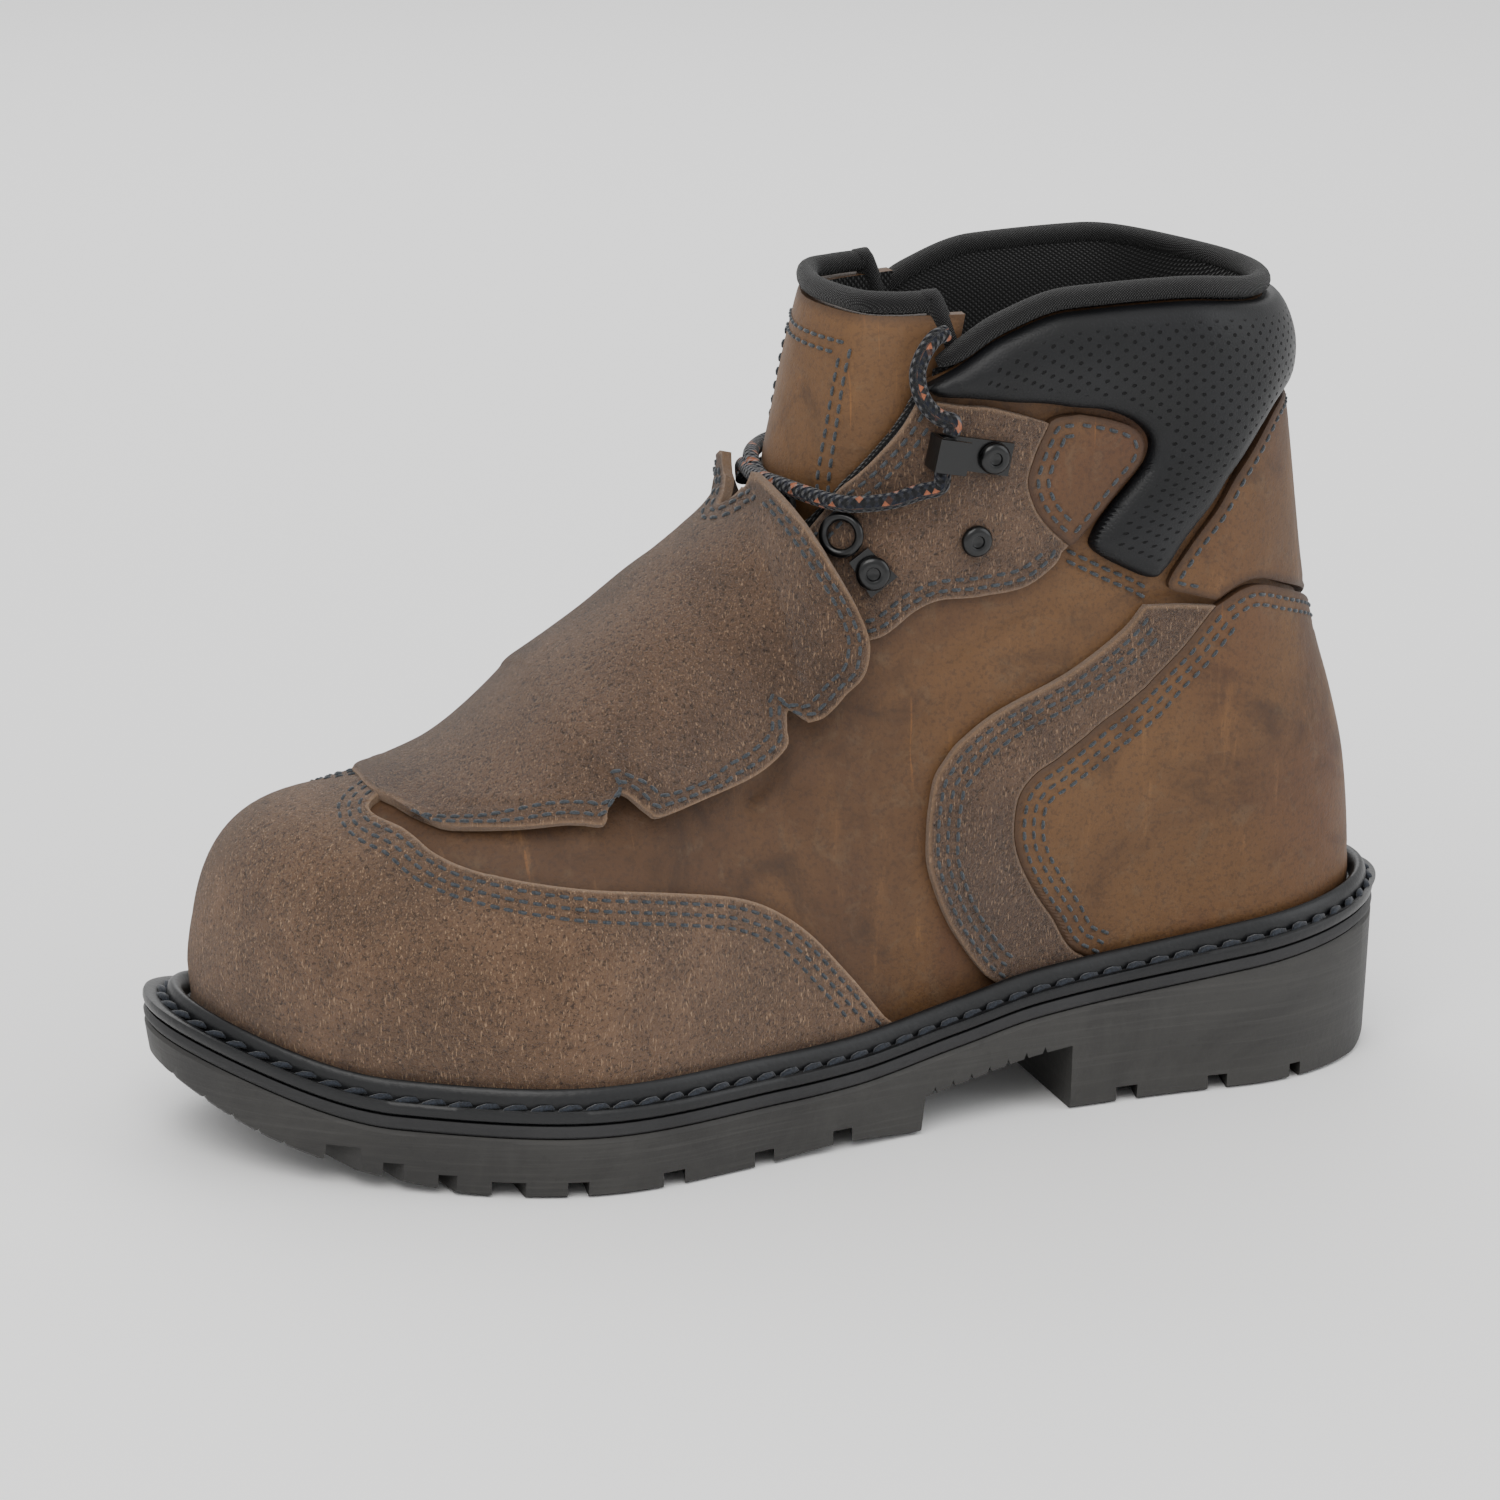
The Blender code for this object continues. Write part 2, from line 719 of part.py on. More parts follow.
COUNTER_FRONT = (
    (0.182, 0.578),
    (0.205, 0.521),
    (0.232, 0.468),
    (0.258, 0.425),
    (0.285, 0.389),
    (0.312, 0.352),
    (0.331, 0.330),
    (0.344, 0.301),
    (0.349, 0.266),
    (0.349, 0.222),
    (0.342, 0.177),
    (0.327, 0.122),
    (0.311, 0.074),
    (0.297, 0.025),
    (0.270, -0.060),
)
COUNTER_TOP = (
    (-0.02, 0.500),
    (0.060, 0.507),
    (0.087, 0.545),
    (0.115, 0.578),
    (0.141, 0.600),
    (0.160, 0.600),
    (0.182, 0.578),
)
BACK_PANEL_FRONT = (
    (0.198, 0.598),
    (0.222, 0.618),
    (0.208, 0.671),
    (0.185, 0.734),
    (0.164, 0.800),
    (0.139, 0.860),
    (0.118, 0.888),
    (0.090, 0.892),
    (-0.02, 0.888),
)
EYESTAY_FRONT = (
    (0.428, 0.951),
    (0.440, 0.907),
    (0.455, 0.867),
    (0.468, 0.835),
    (0.482, 0.800),
    (0.496, 0.745),
    (0.508, 0.700),
)
EYESTAY_LOW = (
    (0.508, 0.625),
    (0.486, 0.575),
    (0.457, 0.573),
    (0.429, 0.613),
    (0.406, 0.628),
    (0.373, 0.629),
    (0.341, 0.638),
    (0.317, 0.670),
    (0.310, 0.698),
)
TAB_FRONT = (
    (0.306, 0.700),
    (0.322, 0.731),
    (0.335, 0.769),
    (0.341, 0.811),
    (0.336, 0.853),
    (0.328, 0.890),
    (0.322, 0.910),
)
EYESTAY_TOP = (
    (0.345, 0.918),
    (0.363, 0.930),
    (0.402, 0.944),
    (0.420, 0.950),
)
TAB_BACK = (
    (0.300, 0.915),
    (0.274, 0.902),
    (0.255, 0.885),
    (0.247, 0.862),
    (0.249, 0.831),
    (0.264, 0.793),
    (0.287, 0.735),
    (0.300, 0.706),
)
PAD_EDGE = (
    (0.425, 1.000),
    (0.424, 0.975),
    (0.414, 0.958),
    (0.395, 0.953),
    (0.362, 0.943),
    (0.315, 0.930),
    (0.280, 0.918),
    (0.256, 0.897),
    (0.242, 0.866),
    (0.243, 0.832),
    (0.255, 0.797),
    (0.272, 0.757),
    (0.285, 0.718),
    (0.286, 0.690),
    (0.260, 0.655),
    (0.236, 0.634),
    (0.224, 0.650),
    (0.211, 0.690),
    (0.191, 0.742),
    (0.171, 0.805),
    (0.147, 0.868),
    (0.124, 0.902),
    (0.095, 0.906),
    (-0.02, 0.906),
)
# Metatarsal guard: share along the ridge, then share and height of its side edge with the two notches
GUARD_COLUMNS = ("ridge", "share", "height")
GUARD = (
    (0.837, 0.810, 0.318),
    (0.815, 0.796, 0.302),
    (0.785, 0.772, 0.301),
    (0.750, 0.740, 0.306),
    (0.718, 0.708, 0.313),
    (0.700, 0.686, 0.308),
    (0.694, 0.681, 0.330),
    (0.684, 0.671, 0.350),
    (0.672, 0.655, 0.322),
    (0.660, 0.645, 0.314),
    (0.635, 0.608, 0.335),
    (0.610, 0.565, 0.362),
    (0.594, 0.536, 0.400),
    (0.586, 0.533, 0.430),
    (0.580, 0.529, 0.456),
    (0.574, 0.514, 0.441),
    (0.567, 0.500, 0.450),
    (0.560, 0.487, 0.488),
    (0.553, 0.474, 0.522),
    (0.547, 0.469, 0.570),
    (0.542, 0.472, 0.616),
    (0.538, 0.479, 0.670),
    (0.535, 0.487, 0.722),
    (0.533, 0.495, 0.772),
    (0.531, 0.504, 0.808),
)
GUARD_COLUMNS_ACROSS = 9
# Tongue, from below the throat to its top: height, and share along the length of its side edge
TONGUE_COLUMNS = ("height", "share")
TONGUE = (
    (0.600, 0.505),
    (0.640, 0.493),
    (0.680, 0.480),
    (0.720, 0.468),
    (0.765, 0.455),
    (0.810, 0.441),
    (0.860, 0.427),
    (0.910, 0.415),
    (0.960, 0.405),
    (1.000, 0.398),
    (1.040, 0.392),
    (1.080, 0.388),
)
# Across the tongue from its middle: share of the way to the throat's edge (past 1: on to its own edge), rise off the form
TONGUE_ACROSS_COLUMNS = ("way", "proud")
TONGUE_ACROSS = (
    (0.00, 0.3 * MM),
    (0.45, -0.2 * MM),
    (0.76, -2.4 * MM),
    (1.02, -3.9 * MM),
    (2.00, -3.9 * MM),
)
# Where the hardware sits in the side view
HOOK_SPOT = (0.372, 0.859)
HOOK_TIP = (0.411, 0.875)
RING_RIVET_SPOT = (0.462, 0.681)
RING_SPOT = (0.479, 0.738)
RIVET_SPOT = (0.383, 0.723)


def side_outline(*edges):
    """One closed outline in the side view through edges that follow each other."""
    return [point for edge in edges for point in in_side_view(edge)]


def moved(edge, along):
    return [(a + along, b) for a, b in edge]


def make_upper():
    upper = shell("upper", -WALL, 0.0, "leather")
    outline = side_outline(THROAT) + in_side_view([(0.66, 0.80), (0.66, 1.30), (0.42, 1.30)])
    cut(upper, side_prism("throat_cut", outline, 0))
    return upper


def panel(name, outline, side, thick, material, below=LAYER_GAP):
    """A layer on the upper, cut from a shell just outside it by an outline in the side view."""
    layer = shell(name, below, LAYER_GAP + thick, material)
    cut(layer, side_prism(name + "_cut", outline, side), "INTERSECT")
    return layer


def make_panels():
    far_front = in_side_view([(1.1, 0.42), (1.1, -0.10)])
    panel("toe_cap", side_outline(CAP_EDGE) + far_front, 0, LAYER, "suede")
    counter = side_outline(COUNTER_TOP[:-1], COUNTER_FRONT) + in_side_view([(-0.05, -0.06)])
    panel("heel_counter", counter, 0, COUNTER_LAYER, "leather")
    back = side_outline(BACK_PANEL_FRONT) + side_outline([(a, b + 0.01) for a, b in COUNTER_TOP[:-1]])
    panel("back_panel", back, 0, LAYER, "leather")
    beside = 1.3 * GAP / LENGTH
    for name, side in SIDES:
        saddle = side_outline(SADDLE_FRONT) + side_outline(moved(COUNTER_FRONT, beside))[::-1]
        saddle += in_side_view([(0.205, 0.592), (0.225, 0.604)])
        panel("saddle_" + name, saddle, side, LAYER, "suede")
        facing = side_outline(EYESTAY_FRONT, EYESTAY_LOW, moved(TAB_FRONT, 4 * beside)) + side_outline(EYESTAY_TOP)
        panel("eyestay_" + name, facing, side, LAYER, "suede", 1.4 * LAYER_GAP)
        panel("side_tab_" + name, side_outline(TAB_FRONT, TAB_BACK), side, COUNTER_LAYER, "leather")


def collar_spots(shares):
    """Places around for shares along the collar line on the lateral side."""
    x = place(np.asarray(shares, float))
    around, _ = spot(x, collar(x), -1)
    return around


def make_collar_pad():
    outline = side_outline(PAD_EDGE) + in_side_view([(-0.02, 1.2), (0.43, 1.2)])
    return panel("collar_pad", outline, 0, PAD_THICK, "black_leather")


def make_collar_roll():
    start = float(collar_spots([PAD_EDGE[0][0] - 0.012])[0])
    around = np.linspace(start, -start, 35)
    path = skin(around, 1.0, -WALL / 4)
    path[:, 2] = collar(path[:, 0]) + ROLL_RADIUS + 2 * GAP
    return tube("collar_roll", path, ROLL_RADIUS, "lining")


def rise_at(around, z):
    """Rise of the form's point at a place around and a height."""
    rise = np.full(np.shape(around), 0.8)
    for _ in range(8):
        x = form(around, rise)[..., 0]
        rise = (z - feather(x)) / (collar(x) - feather(x))
    return rise


def tongue_grid(inward):
    ways, proud = (column(TONGUE_ACROSS, TONGUE_ACROSS_COLUMNS, name) for name in TONGUE_ACROSS_COLUMNS)
    throat_height, throat_share = np.array(THROAT)[::-1, 1], np.array(THROAT)[::-1, 0]
    rows = []
    for height, along in TONGUE:
        z = SEAT_HEIGHT + SHAFT_HEIGHT * height
        opening = float(np.interp(height, throat_height, throat_share))
        throat = float(spot(place(opening), z, -1)[0]) if height > THROAT[-3][1] else 0.93
        edge = min(float(spot(place(along), z, -1)[0]), throat - 0.05)
        half = np.where(ways < 2, 1 - (1 - throat) * ways, edge)
        around = np.r_[half[:0:-1], 2 - half]
        offset = np.r_[proud[:0:-1], proud]
        bulge = ease(height, TONGUE[2][0], TONGUE[5][0])
        offset = TONGUE_ACROSS[-1][1] * (1 - bulge) + offset * bulge
        rows.append(skin(around, rise_at(around, z), offset - inward))
    return np.array(rows)


def make_tongue():
    outer, inner = tongue_grid(0.0), tongue_grid(TONGUE_THICK)
    patch("tongue", inner, outer, "leather")
    crest = (outer[-1] + inner[-1]) / 2
    crest[:, 2] += ROLL_RADIUS + 2 * GAP
    tube("tongue_binding", curve_through(crest, 2), ROLL_RADIUS, "lining")


def guard_net():
    """Places around and rises of the guard, rows from the toe cap to its top, across from lateral to medial."""
    x = place(column(GUARD, GUARD_COLUMNS, "share"))
    z = SEAT_HEIGHT + SHAFT_HEIGHT * column(GUARD, GUARD_COLUMNS, "height")
    edge_around, edge_rise = spot(x, z, -1)
    ridge_x = place(column(GUARD, GUARD_COLUMNS, "ridge"))
    ridge_rise = ridge_height(ridge_x) / (collar(ridge_x) - feather(ridge_x))
    across = np.linspace(-1, 1, GUARD_COLUMNS_ACROSS)
    around = 1 + across[None] * (1 - edge_around[:, None])
    rise = ridge_rise[:, None] + (edge_rise - ridge_rise)[:, None] * np.abs(across[None]) ** 1.6
    return around, rise, across


def make_guard():
    """Suede flap, sewn at the toe cap and lifted clear of the vamp and the lace."""
    around, rise, across = guard_net()
    along = np.linspace(0, 1, len(around))[:, None]
    lift = 2 * GAP + GUARD_LIFT * ease(along, 0, 0.3)
    lift = lift + GUARD_END_LIFT * ease(along, 0.55, 0.9) * (0.45 + 0.55 * across[None] ** 2)
    return patch("metatarsal_guard", skin(around, rise, lift), skin(around, rise, lift + GUARD_THICK), "suede")


class Seat:
    """A point on the upper's layers with its own axes: forward to another point, up, and out."""

    def __init__(self, shares, side, proud, toward):
        x, z = in_side_view([shares])[0]
        around, rise = spot(np.array(x), z, side)
        self.origin = skin(around, rise, proud)
        self.out = form_normal(around, rise)
        x, z = in_side_view([toward])[0]
        forward = skin(*spot(np.array(x), z, side), proud) - self.origin
        forward -= self.out * (forward @ self.out)
        self.forward = forward / np.linalg.norm(forward)
        self.up = np.cross(self.out, self.forward) * side

    def at(self, forward, up, out):
        return self.origin + forward * self.forward + up * self.up + out * self.out


def turned(name, seat, profile, material, sides=10):
    """A round piece about the seat's outward axis, from radii and heights."""
    points, faces = [], []
    for radius, height in profile:
        for k in range(sides):
            angle = 2 * math.pi * k / sides
            points.append(seat.at(radius * math.cos(angle), radius * math.sin(angle), height))
    faces = grid_faces(len(profile), sides, 0, True)
    faces += [tuple(range(sides))[::-1], tuple((len(profile) - 1) * sides + k for k in range(sides))]
    return solid(name, points, faces, material)


def rivet_profile(radius):
    return [(radius, 0), (radius, RIVET_HEIGHT * 0.5), (radius * 0.55, RIVET_HEIGHT)]


def strip(name, seat, outline, width, material):
    """A bent strip of metal: an outline in the seat's forward and out axes, with a width along its up axis."""
    count = len(outline)
    points = [seat.at(f, -width / 2, o) for f, o in outline] + [seat.at(f, width / 2, o) for f, o in outline]
    faces = [tuple(range(count)), tuple(range(2 * count - 1, count - 1, -1))]
    faces += [(k, (k + 1) % count, (k + 1) % count + count, k + count) for k in range(count)]
    return solid(name, points, faces, material)


def make_hardware(name, side):
    hook = Seat(HOOK_SPOT, side, ON_LEATHER, HOOK_TIP)
    t, reach, mouth = PLATE_THICK, HOOK_REACH, HOOK_MOUTH
    top = t + mouth
    outline = [(-4.5 * MM, 0), (reach, 0), (reach, top + t), (reach - 8 * MM, top + t)]
    outline += [(reach - 8 * MM, top), (reach - t, top), (reach - t, t), (-4.5 * MM, t)]
    strip("lace_hook_" + name, hook, outline, HOOK_WIDTH, "black_metal")
    on_plate = Seat(HOOK_SPOT, side, ON_LEATHER + t + GAP, HOOK_TIP)
    turned("hook_rivet_" + name, on_plate, rivet_profile(RIVET_RADIUS), "black_metal")
    ring_rivet = Seat(RING_RIVET_SPOT, side, ON_LEATHER, RING_SPOT)
    ring = Seat(RING_SPOT, side, ON_LEATHER + RING_WIRE, HOOK_TIP)
    span = np.linalg.norm(ring.origin - ring_rivet.origin) - RING_RADIUS - RING_WIRE - 2 * GAP
    back, half = -4.5 * MM, HOOK_WIDTH / 2
    corners = [(back, half), (span, 0.7 * half), (span, -0.7 * half), (back, -half)]
    points = [ring_rivet.at(*c, 0) for c in corners] + [ring_rivet.at(*c, t) for c in corners]
    faces = [(0, 1, 2, 3), (7, 6, 5, 4)] + [(k, (k + 1) % 4, (k + 1) % 4 + 4, k + 4) for k in range(4)]
    solid("ring_plate_" + name, points, faces, "black_metal")
    on_ring_plate = Seat(RING_RIVET_SPOT, side, ON_LEATHER + t + GAP, RING_SPOT)
    turned("ring_rivet_" + name, on_ring_plate, rivet_profile(RIVET_RADIUS), "black_metal")
    wire, turns, points = 5, 14, []
    for k in range(turns):
        a = 2 * math.pi * k / turns
        for j in range(wire):
            b = 2 * math.pi * j / wire
            radius = RING_RADIUS + RING_WIRE * math.cos(b)
            points.append(ring.at(radius * math.cos(a), radius * math.sin(a), RING_WIRE * math.sin(b)))
    last = (turns - 1) * wire
    faces = grid_faces(turns, wire, 0, True)
    faces += [(last + j, last + (j + 1) % wire, (j + 1) % wire, j) for j in range(wire)]
    solid("lace_ring_" + name, points, faces, "black_metal")
    lone = Seat(RIVET_SPOT, side, ON_LEATHER, RING_SPOT)
    turned("rivet_" + name, lone, rivet_profile(RIVET_RADIUS), "black_metal")


# Lace from a hook on one side to the ring on the other: share, height, side (1 the hook's own), lift off the form
LACE_OVER = (
    (0.430, 0.813, 1, 6.4 * MM),
    (0.452, 0.797, 1, 6.0 * MM),
    (0.478, 0.789, 1, 5.6 * MM),
    (0.503, 0.795, 1, 5.2 * MM),
    (0.530, 0.790, 1, 5.0 * MM),
    (0.503, 0.784, -1, 4.8 * MM),
    (0.507, 0.765, -1, 4.4 * MM),
)
LACE_UNDER = (
    (0.430, 0.817, 1, 6.4 * MM),
    (0.452, 0.803, 1, 5.8 * MM),
    (0.478, 0.797, 1, 4.8 * MM),
    (0.503, 0.803, 1, 3.8 * MM),
    (0.530, 0.787, 1, 3.2 * MM),
    (0.504, 0.770, -1, 3.2 * MM),
    (0.507, 0.755, -1, 3.4 * MM),
)
# Past the hook: up before the collar's tip and over it
LACE_END = (
    (0.416, 0.933, 1, 6.4 * MM),
    (0.424, 0.952, 1, 5.6 * MM),
    (0.428, 0.976, 1, 4.8 * MM),
    (0.428, 1.003, 1, 4.0 * MM),
    (0.423, 1.030, 1, 3.0 * MM),
    (0.415, 1.050, 1, 1.4 * MM),
    (0.406, 1.056, 1, -0.2 * MM),
)
# Through a hook, down to up, as shares of its width from its middle
HOOK_PASS = (-1.0, -0.5, 0.45)


def route(rows, side):
    found = []
    for along, height, same, lift in rows:
        z = SEAT_HEIGHT + SHAFT_HEIGHT * height
        around, rise = spot(np.array(place(along)), z, side * same)
        found.append(skin(around, rise, lift))
    return found


def in_hook(side, shares):
    """Points on the lace's line through a hook."""
    hook = Seat(HOOK_SPOT, side, ON_LEATHER, HOOK_TIP)
    forward = HOOK_REACH - PLATE_THICK - GAP - LACE / 2
    return [hook.at(forward, part * HOOK_WIDTH, PLATE_THICK + HOOK_MOUTH / 2) for part in shares]


def make_lace():
    lace = None
    for name, side, rows in (("lace", -1, LACE_OVER), ("lace_under", 1, LACE_UNDER)):
        path = curve_through(in_hook(side, HOOK_PASS[::-1]) + route(rows, side), 2)
        piece = tube(name, path, LACE / 2, "lace_cord")
        if lace is None:
            lace = piece
        else:
            piece.hide_render = True
            piece.display_type = "WIRE"
            cut(lace, piece, "UNION")
    for name, side in SIDES:
        path = curve_through(in_hook(side, (0.60, 0.95)) + route(LACE_END, side), 2)
        tube("lace_end_" + name, path, LACE / 2, "lace_cord")


def main():
    clear_scene()
    make_outsole()
    make_midsole()
    make_welt()
    make_insole()
    make_upper()
    make_panels()
    make_collar_pad()
    make_collar_roll()
    make_tongue()
    make_guard()
    for name, side in SIDES:
        make_hardware(name, side)
    make_lace()


main()
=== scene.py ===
"""Looks of the metatarsal guard boot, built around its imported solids.

Metres, +Z up, toe toward -X, lateral side toward -Y. Every leather piece is cut from the same form as the solids.
"""
import math

import bmesh
import bpy
import numpy as np
from bpy.props import FloatProperty, FloatVectorProperty, PointerProperty
from mathutils import Matrix, Vector
from mathutils.geometry import delaunay_2d_cdt


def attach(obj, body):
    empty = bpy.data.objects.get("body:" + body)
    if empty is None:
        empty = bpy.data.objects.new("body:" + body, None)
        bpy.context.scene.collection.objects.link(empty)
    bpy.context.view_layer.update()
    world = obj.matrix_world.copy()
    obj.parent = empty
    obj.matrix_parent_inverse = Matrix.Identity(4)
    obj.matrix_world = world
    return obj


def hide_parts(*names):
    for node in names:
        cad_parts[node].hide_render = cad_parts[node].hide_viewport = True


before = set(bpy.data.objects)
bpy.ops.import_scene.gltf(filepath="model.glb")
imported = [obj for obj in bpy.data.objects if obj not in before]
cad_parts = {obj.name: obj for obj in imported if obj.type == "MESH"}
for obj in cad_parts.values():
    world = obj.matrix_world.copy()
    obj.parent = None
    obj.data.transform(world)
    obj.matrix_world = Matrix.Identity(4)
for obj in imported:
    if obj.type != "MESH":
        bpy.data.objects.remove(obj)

bl_info = {
    "name": "Metatarsal guard boot",
    "version": (1, 0, 0),
    "blender": (4, 5, 0),
    "location": "3D View > Sidebar > Boot",
    "description": "Dresses the solids of a metatarsal guard boot in leather, suede, rubber, thread and cord",
    "category": "Add Mesh",
}

MM = 0.001
GAP = 0.3 * MM
SOLE_GAP = 0.5 * MM
LAYER_GAP = 0.6 * MM

# Driving sizes of the last, the sole and the shaft
LENGTH = 312 * MM
BALL_WIDTH = 117.4 * MM
SEAT_HEIGHT = 35.9 * MM
SHAFT_HEIGHT = 150 * MM
SHAFT_WIDTH = 67 * MM
TOE_BOX_HEIGHT = 59 * MM
PLAN_SHIFT = 3.5 * MM

# Sole
HEEL_ROUND = 0.15
TOE_ROUND = 0.30
OUTSOLE_TAPER = 1.5 * MM
MIDSOLE_THICK = 3.2 * MM
WELT_THICK = 3.2 * MM
WELT_BEAD = 4.2 * MM
BEAD_WIDTH = 4.6 * MM
WELT_LEDGE = 7 * MM
FILLER_INSET = 27 * MM
HEEL_BREAST = 62 * MM
ARCH_END = 22 * MM
ARCH_THICK = 9.5 * MM
GROOVE_DEPTH = 4 * MM
GROOVE_REACH = 24 * MM
RIB_PITCH = 5 * MM
RIB_DEPTH = 1.6 * MM
TOE_RIBS = 5
ARCH_RIBS = 7

# Upper and its layers
WALL = 2.2 * MM
LAYER = 2.0 * MM
COUNTER_LAYER = 2.4 * MM
FEATHER_INSET = 10.4 * MM
TOE_INSET = 13.5 * MM
BULGE = 2.5 * MM
ROLL_RADIUS = 2.6 * MM
TONGUE_THICK = 3.6 * MM
GUARD_THICK = 3.0 * MM
GUARD_LIFT = 4.8 * MM
GUARD_END_LIFT = 3.6 * MM

# Hardware and lace
LACE = 4 * MM
RIVET_RADIUS = 3.4 * MM
RIVET_HEIGHT = 1.5 * MM
PLATE_THICK = 1.2 * MM
RING_RADIUS = 4.4 * MM
RING_WIRE = 1.1 * MM
HOOK_WIDTH = 8 * MM
HOOK_REACH = 16.5 * MM
HOOK_MOUTH = LACE + 3 * GAP
ON_LEATHER = LAYER_GAP + LAYER + 2 * GAP

SIDES = (("lateral", -1), ("medial", 1))

# Half width and offset (toward medial) as shares of the ball width, the outsole's top as a share of the seat
PLAN_COLUMNS = ("share", "half", "offset", "line")
PLAN = (
    (0.00, 0.326, 0.000, 1.000),
    (0.10, 0.326, 0.000, 0.905),
    (0.20, 0.326, -0.001, 0.810),
    (0.33, 0.331, -0.017, 0.697),
    (0.40, 0.345, -0.028, 0.580),
    (0.50, 0.388, -0.041, 0.445),
    (0.55, 0.412, -0.043, 0.424),
    (0.70, 0.500, -0.031, 0.413),
    (0.85, 0.462, 0.026, 0.441),
    (1.00, 0.435, 0.095, 0.807),
)
# Underside of the tread before its cuts, as a share of the seat height
TREAD_COLUMNS = ("share", "height")
TREAD = (
    (0.00, 0.14), (0.04, 0.00), (0.40, 0.00), (0.50, 0.045), (0.58, 0.000), (0.78, 0.000), (0.86, 0.09),
    (0.93, 0.26), (1.00, 0.58),
)
# Ridge height above the featherline as a share of the toe box height, and how square the section is
RIDGE_COLUMNS = ("share", "height", "square")
RIDGE = (
    (0.96, 1.00, 2.7),
    (0.87, 0.995, 2.7),
    (0.805, 1.045, 2.6),
    (0.776, 1.10, 2.4),
    (0.702, 1.355, 2.05),
    (0.638, 1.575, 1.9),
    (0.600, 1.72, 1.9),
    (0.558, 1.86, 2.0),
    (0.529, 1.97, 2.15),
    (0.511, 2.11, 2.3),
    (0.503, 2.29, 2.4),
    (0.491, 2.60, 2.5),
    (0.484, 2.80, 2.5),
    (0.470, 3.25, 2.5),
    (0.400, 5.60, 2.6),
    (0.000, 17.0, 2.6),
)
# Along the shaft: the heel's back as a share of half the length, half width as a share of the shaft width
BACK_COLUMNS = ("rise", "back", "half")
BACK = (
    (0.00, 0.937, 0.480),
    (0.08, 0.932, 0.495),
    (0.20, 0.918, 0.492),
    (0.32, 0.890, 0.475),
    (0.42, 0.862, 0.462),
    (0.50, 0.845, 0.460),
    (0.65, 0.823, 0.466),
    (0.78, 0.806, 0.478),
    (0.90, 0.789, 0.490),
    (1.00, 0.770, 0.500),
)
# Collar line above the floor of the foot bed, as a share of the shaft height
COLLAR_COLUMNS = ("share", "height")
COLLAR = (
    (0.00, 1.035), (0.13, 1.060), (0.22, 1.085), (0.31, 1.080), (0.365, 1.045), (0.405, 0.995), (0.440, 0.970),
    (0.480, 0.960), (1.00, 0.960),
)


def column(table, columns, name):
    return np.array([row[columns.index(name)] for row in table], float)


def smooth(table, columns, name, where):
    """A table's column at the given places, on a curve that doesn't overshoot its rows."""
    keys = column(table, columns, columns[0])
    values = column(table, columns, name)
    if keys[0] > keys[-1]:
        keys, values = keys[::-1], values[::-1]
    steps = np.diff(keys)
    rises = np.diff(values) / steps
    slopes = np.empty(len(keys))
    slopes[0], slopes[-1] = rises[0], rises[-1]
    same = rises[1:] * rises[:-1] > 0
    first, second = 2 * steps[1:] + steps[:-1], steps[1:] + 2 * steps[:-1]
    safe = np.where(same, rises[:-1] * rises[1:], 1)
    mean = (first + second) * safe / (first * rises[1:] + second * rises[:-1] + (~same))
    slopes[1:-1] = np.where(same, mean, 0)
    where = np.clip(where, keys[0], keys[-1])
    i = np.clip(np.searchsorted(keys, where, side="right") - 1, 0, len(steps) - 1)
    t = (where - keys[i]) / steps[i]
    left = values[i] * (1 + 2 * t) * (1 - t) ** 2 + steps[i] * slopes[i] * t * (1 - t) ** 2
    right = values[i + 1] * t * t * (3 - 2 * t) - steps[i] * slopes[i + 1] * t * t * (1 - t)
    return left + right


def share(x):
    """Share of the length at x, from 0 at the heel to 1 at the toe."""
    return 0.5 - np.asarray(x, float) / LENGTH


def place(along):
    return LENGTH * (0.5 - along)


def ease(value, low, high):
    t = np.clip((value - low) / (high - low), 0, 1)
    return t * t * (3 - 2 * t)


def rounded(value, power):
    return (1 - np.clip(value, 0, 1) ** power) ** (1 / power)


def line(x):
    """Height of the join between outsole and midsole."""
    return SEAT_HEIGHT * smooth(PLAN, PLAN_COLUMNS, "line", share(x))


def midsole_top(x):
    return line(x) + MIDSOLE_THICK


def welt_top(x):
    return midsole_top(x) + SOLE_GAP + WELT_THICK


def feather(x):
    """Height of the featherline, where the upper leaves the welt's bead."""
    return welt_top(x) + WELT_BEAD + GAP


def plan_half(x, heel_tip, toe_tip, inset):
    """Half width of the sole's plan, drawn in by an inset, closed at a heel tip and a toe tip."""
    half = BALL_WIDTH * smooth(PLAN, PLAN_COLUMNS, "half", share(x)) - inset
    heel_start, toe_start = place(HEEL_ROUND), place(1 - TOE_ROUND)
    heel = rounded((x - heel_start) / (heel_tip - heel_start), 1.9)
    toe = rounded((toe_start - x) / (toe_start - toe_tip), 2.12)
    return half * heel * toe


def plan_offset(x):
    return PLAN_SHIFT + BALL_WIDTH * smooth(PLAN, PLAN_COLUMNS, "offset", share(x))


def turn(around):
    """Side (-1 lateral, 1 medial) and share from heel to toe, for a place around the boot: 0 heel, 1 toe, 2 heel."""
    around = np.mod(around, 2)
    return np.where(around <= 1, -1, 1), np.where(around <= 1, around, 2 - around)


def sole_edge(around, inset):
    """Points of the sole's outline, drawn in by an inset, in plan."""
    side, along = turn(around)
    heel_tip, toe_tip = LENGTH / 2 - inset, -LENGTH / 2 + inset
    x = heel_tip + (toe_tip - heel_tip) * (1 - np.cos(math.pi * along)) / 2
    return x, plan_offset(x) + side * plan_half(x, heel_tip, toe_tip, inset)


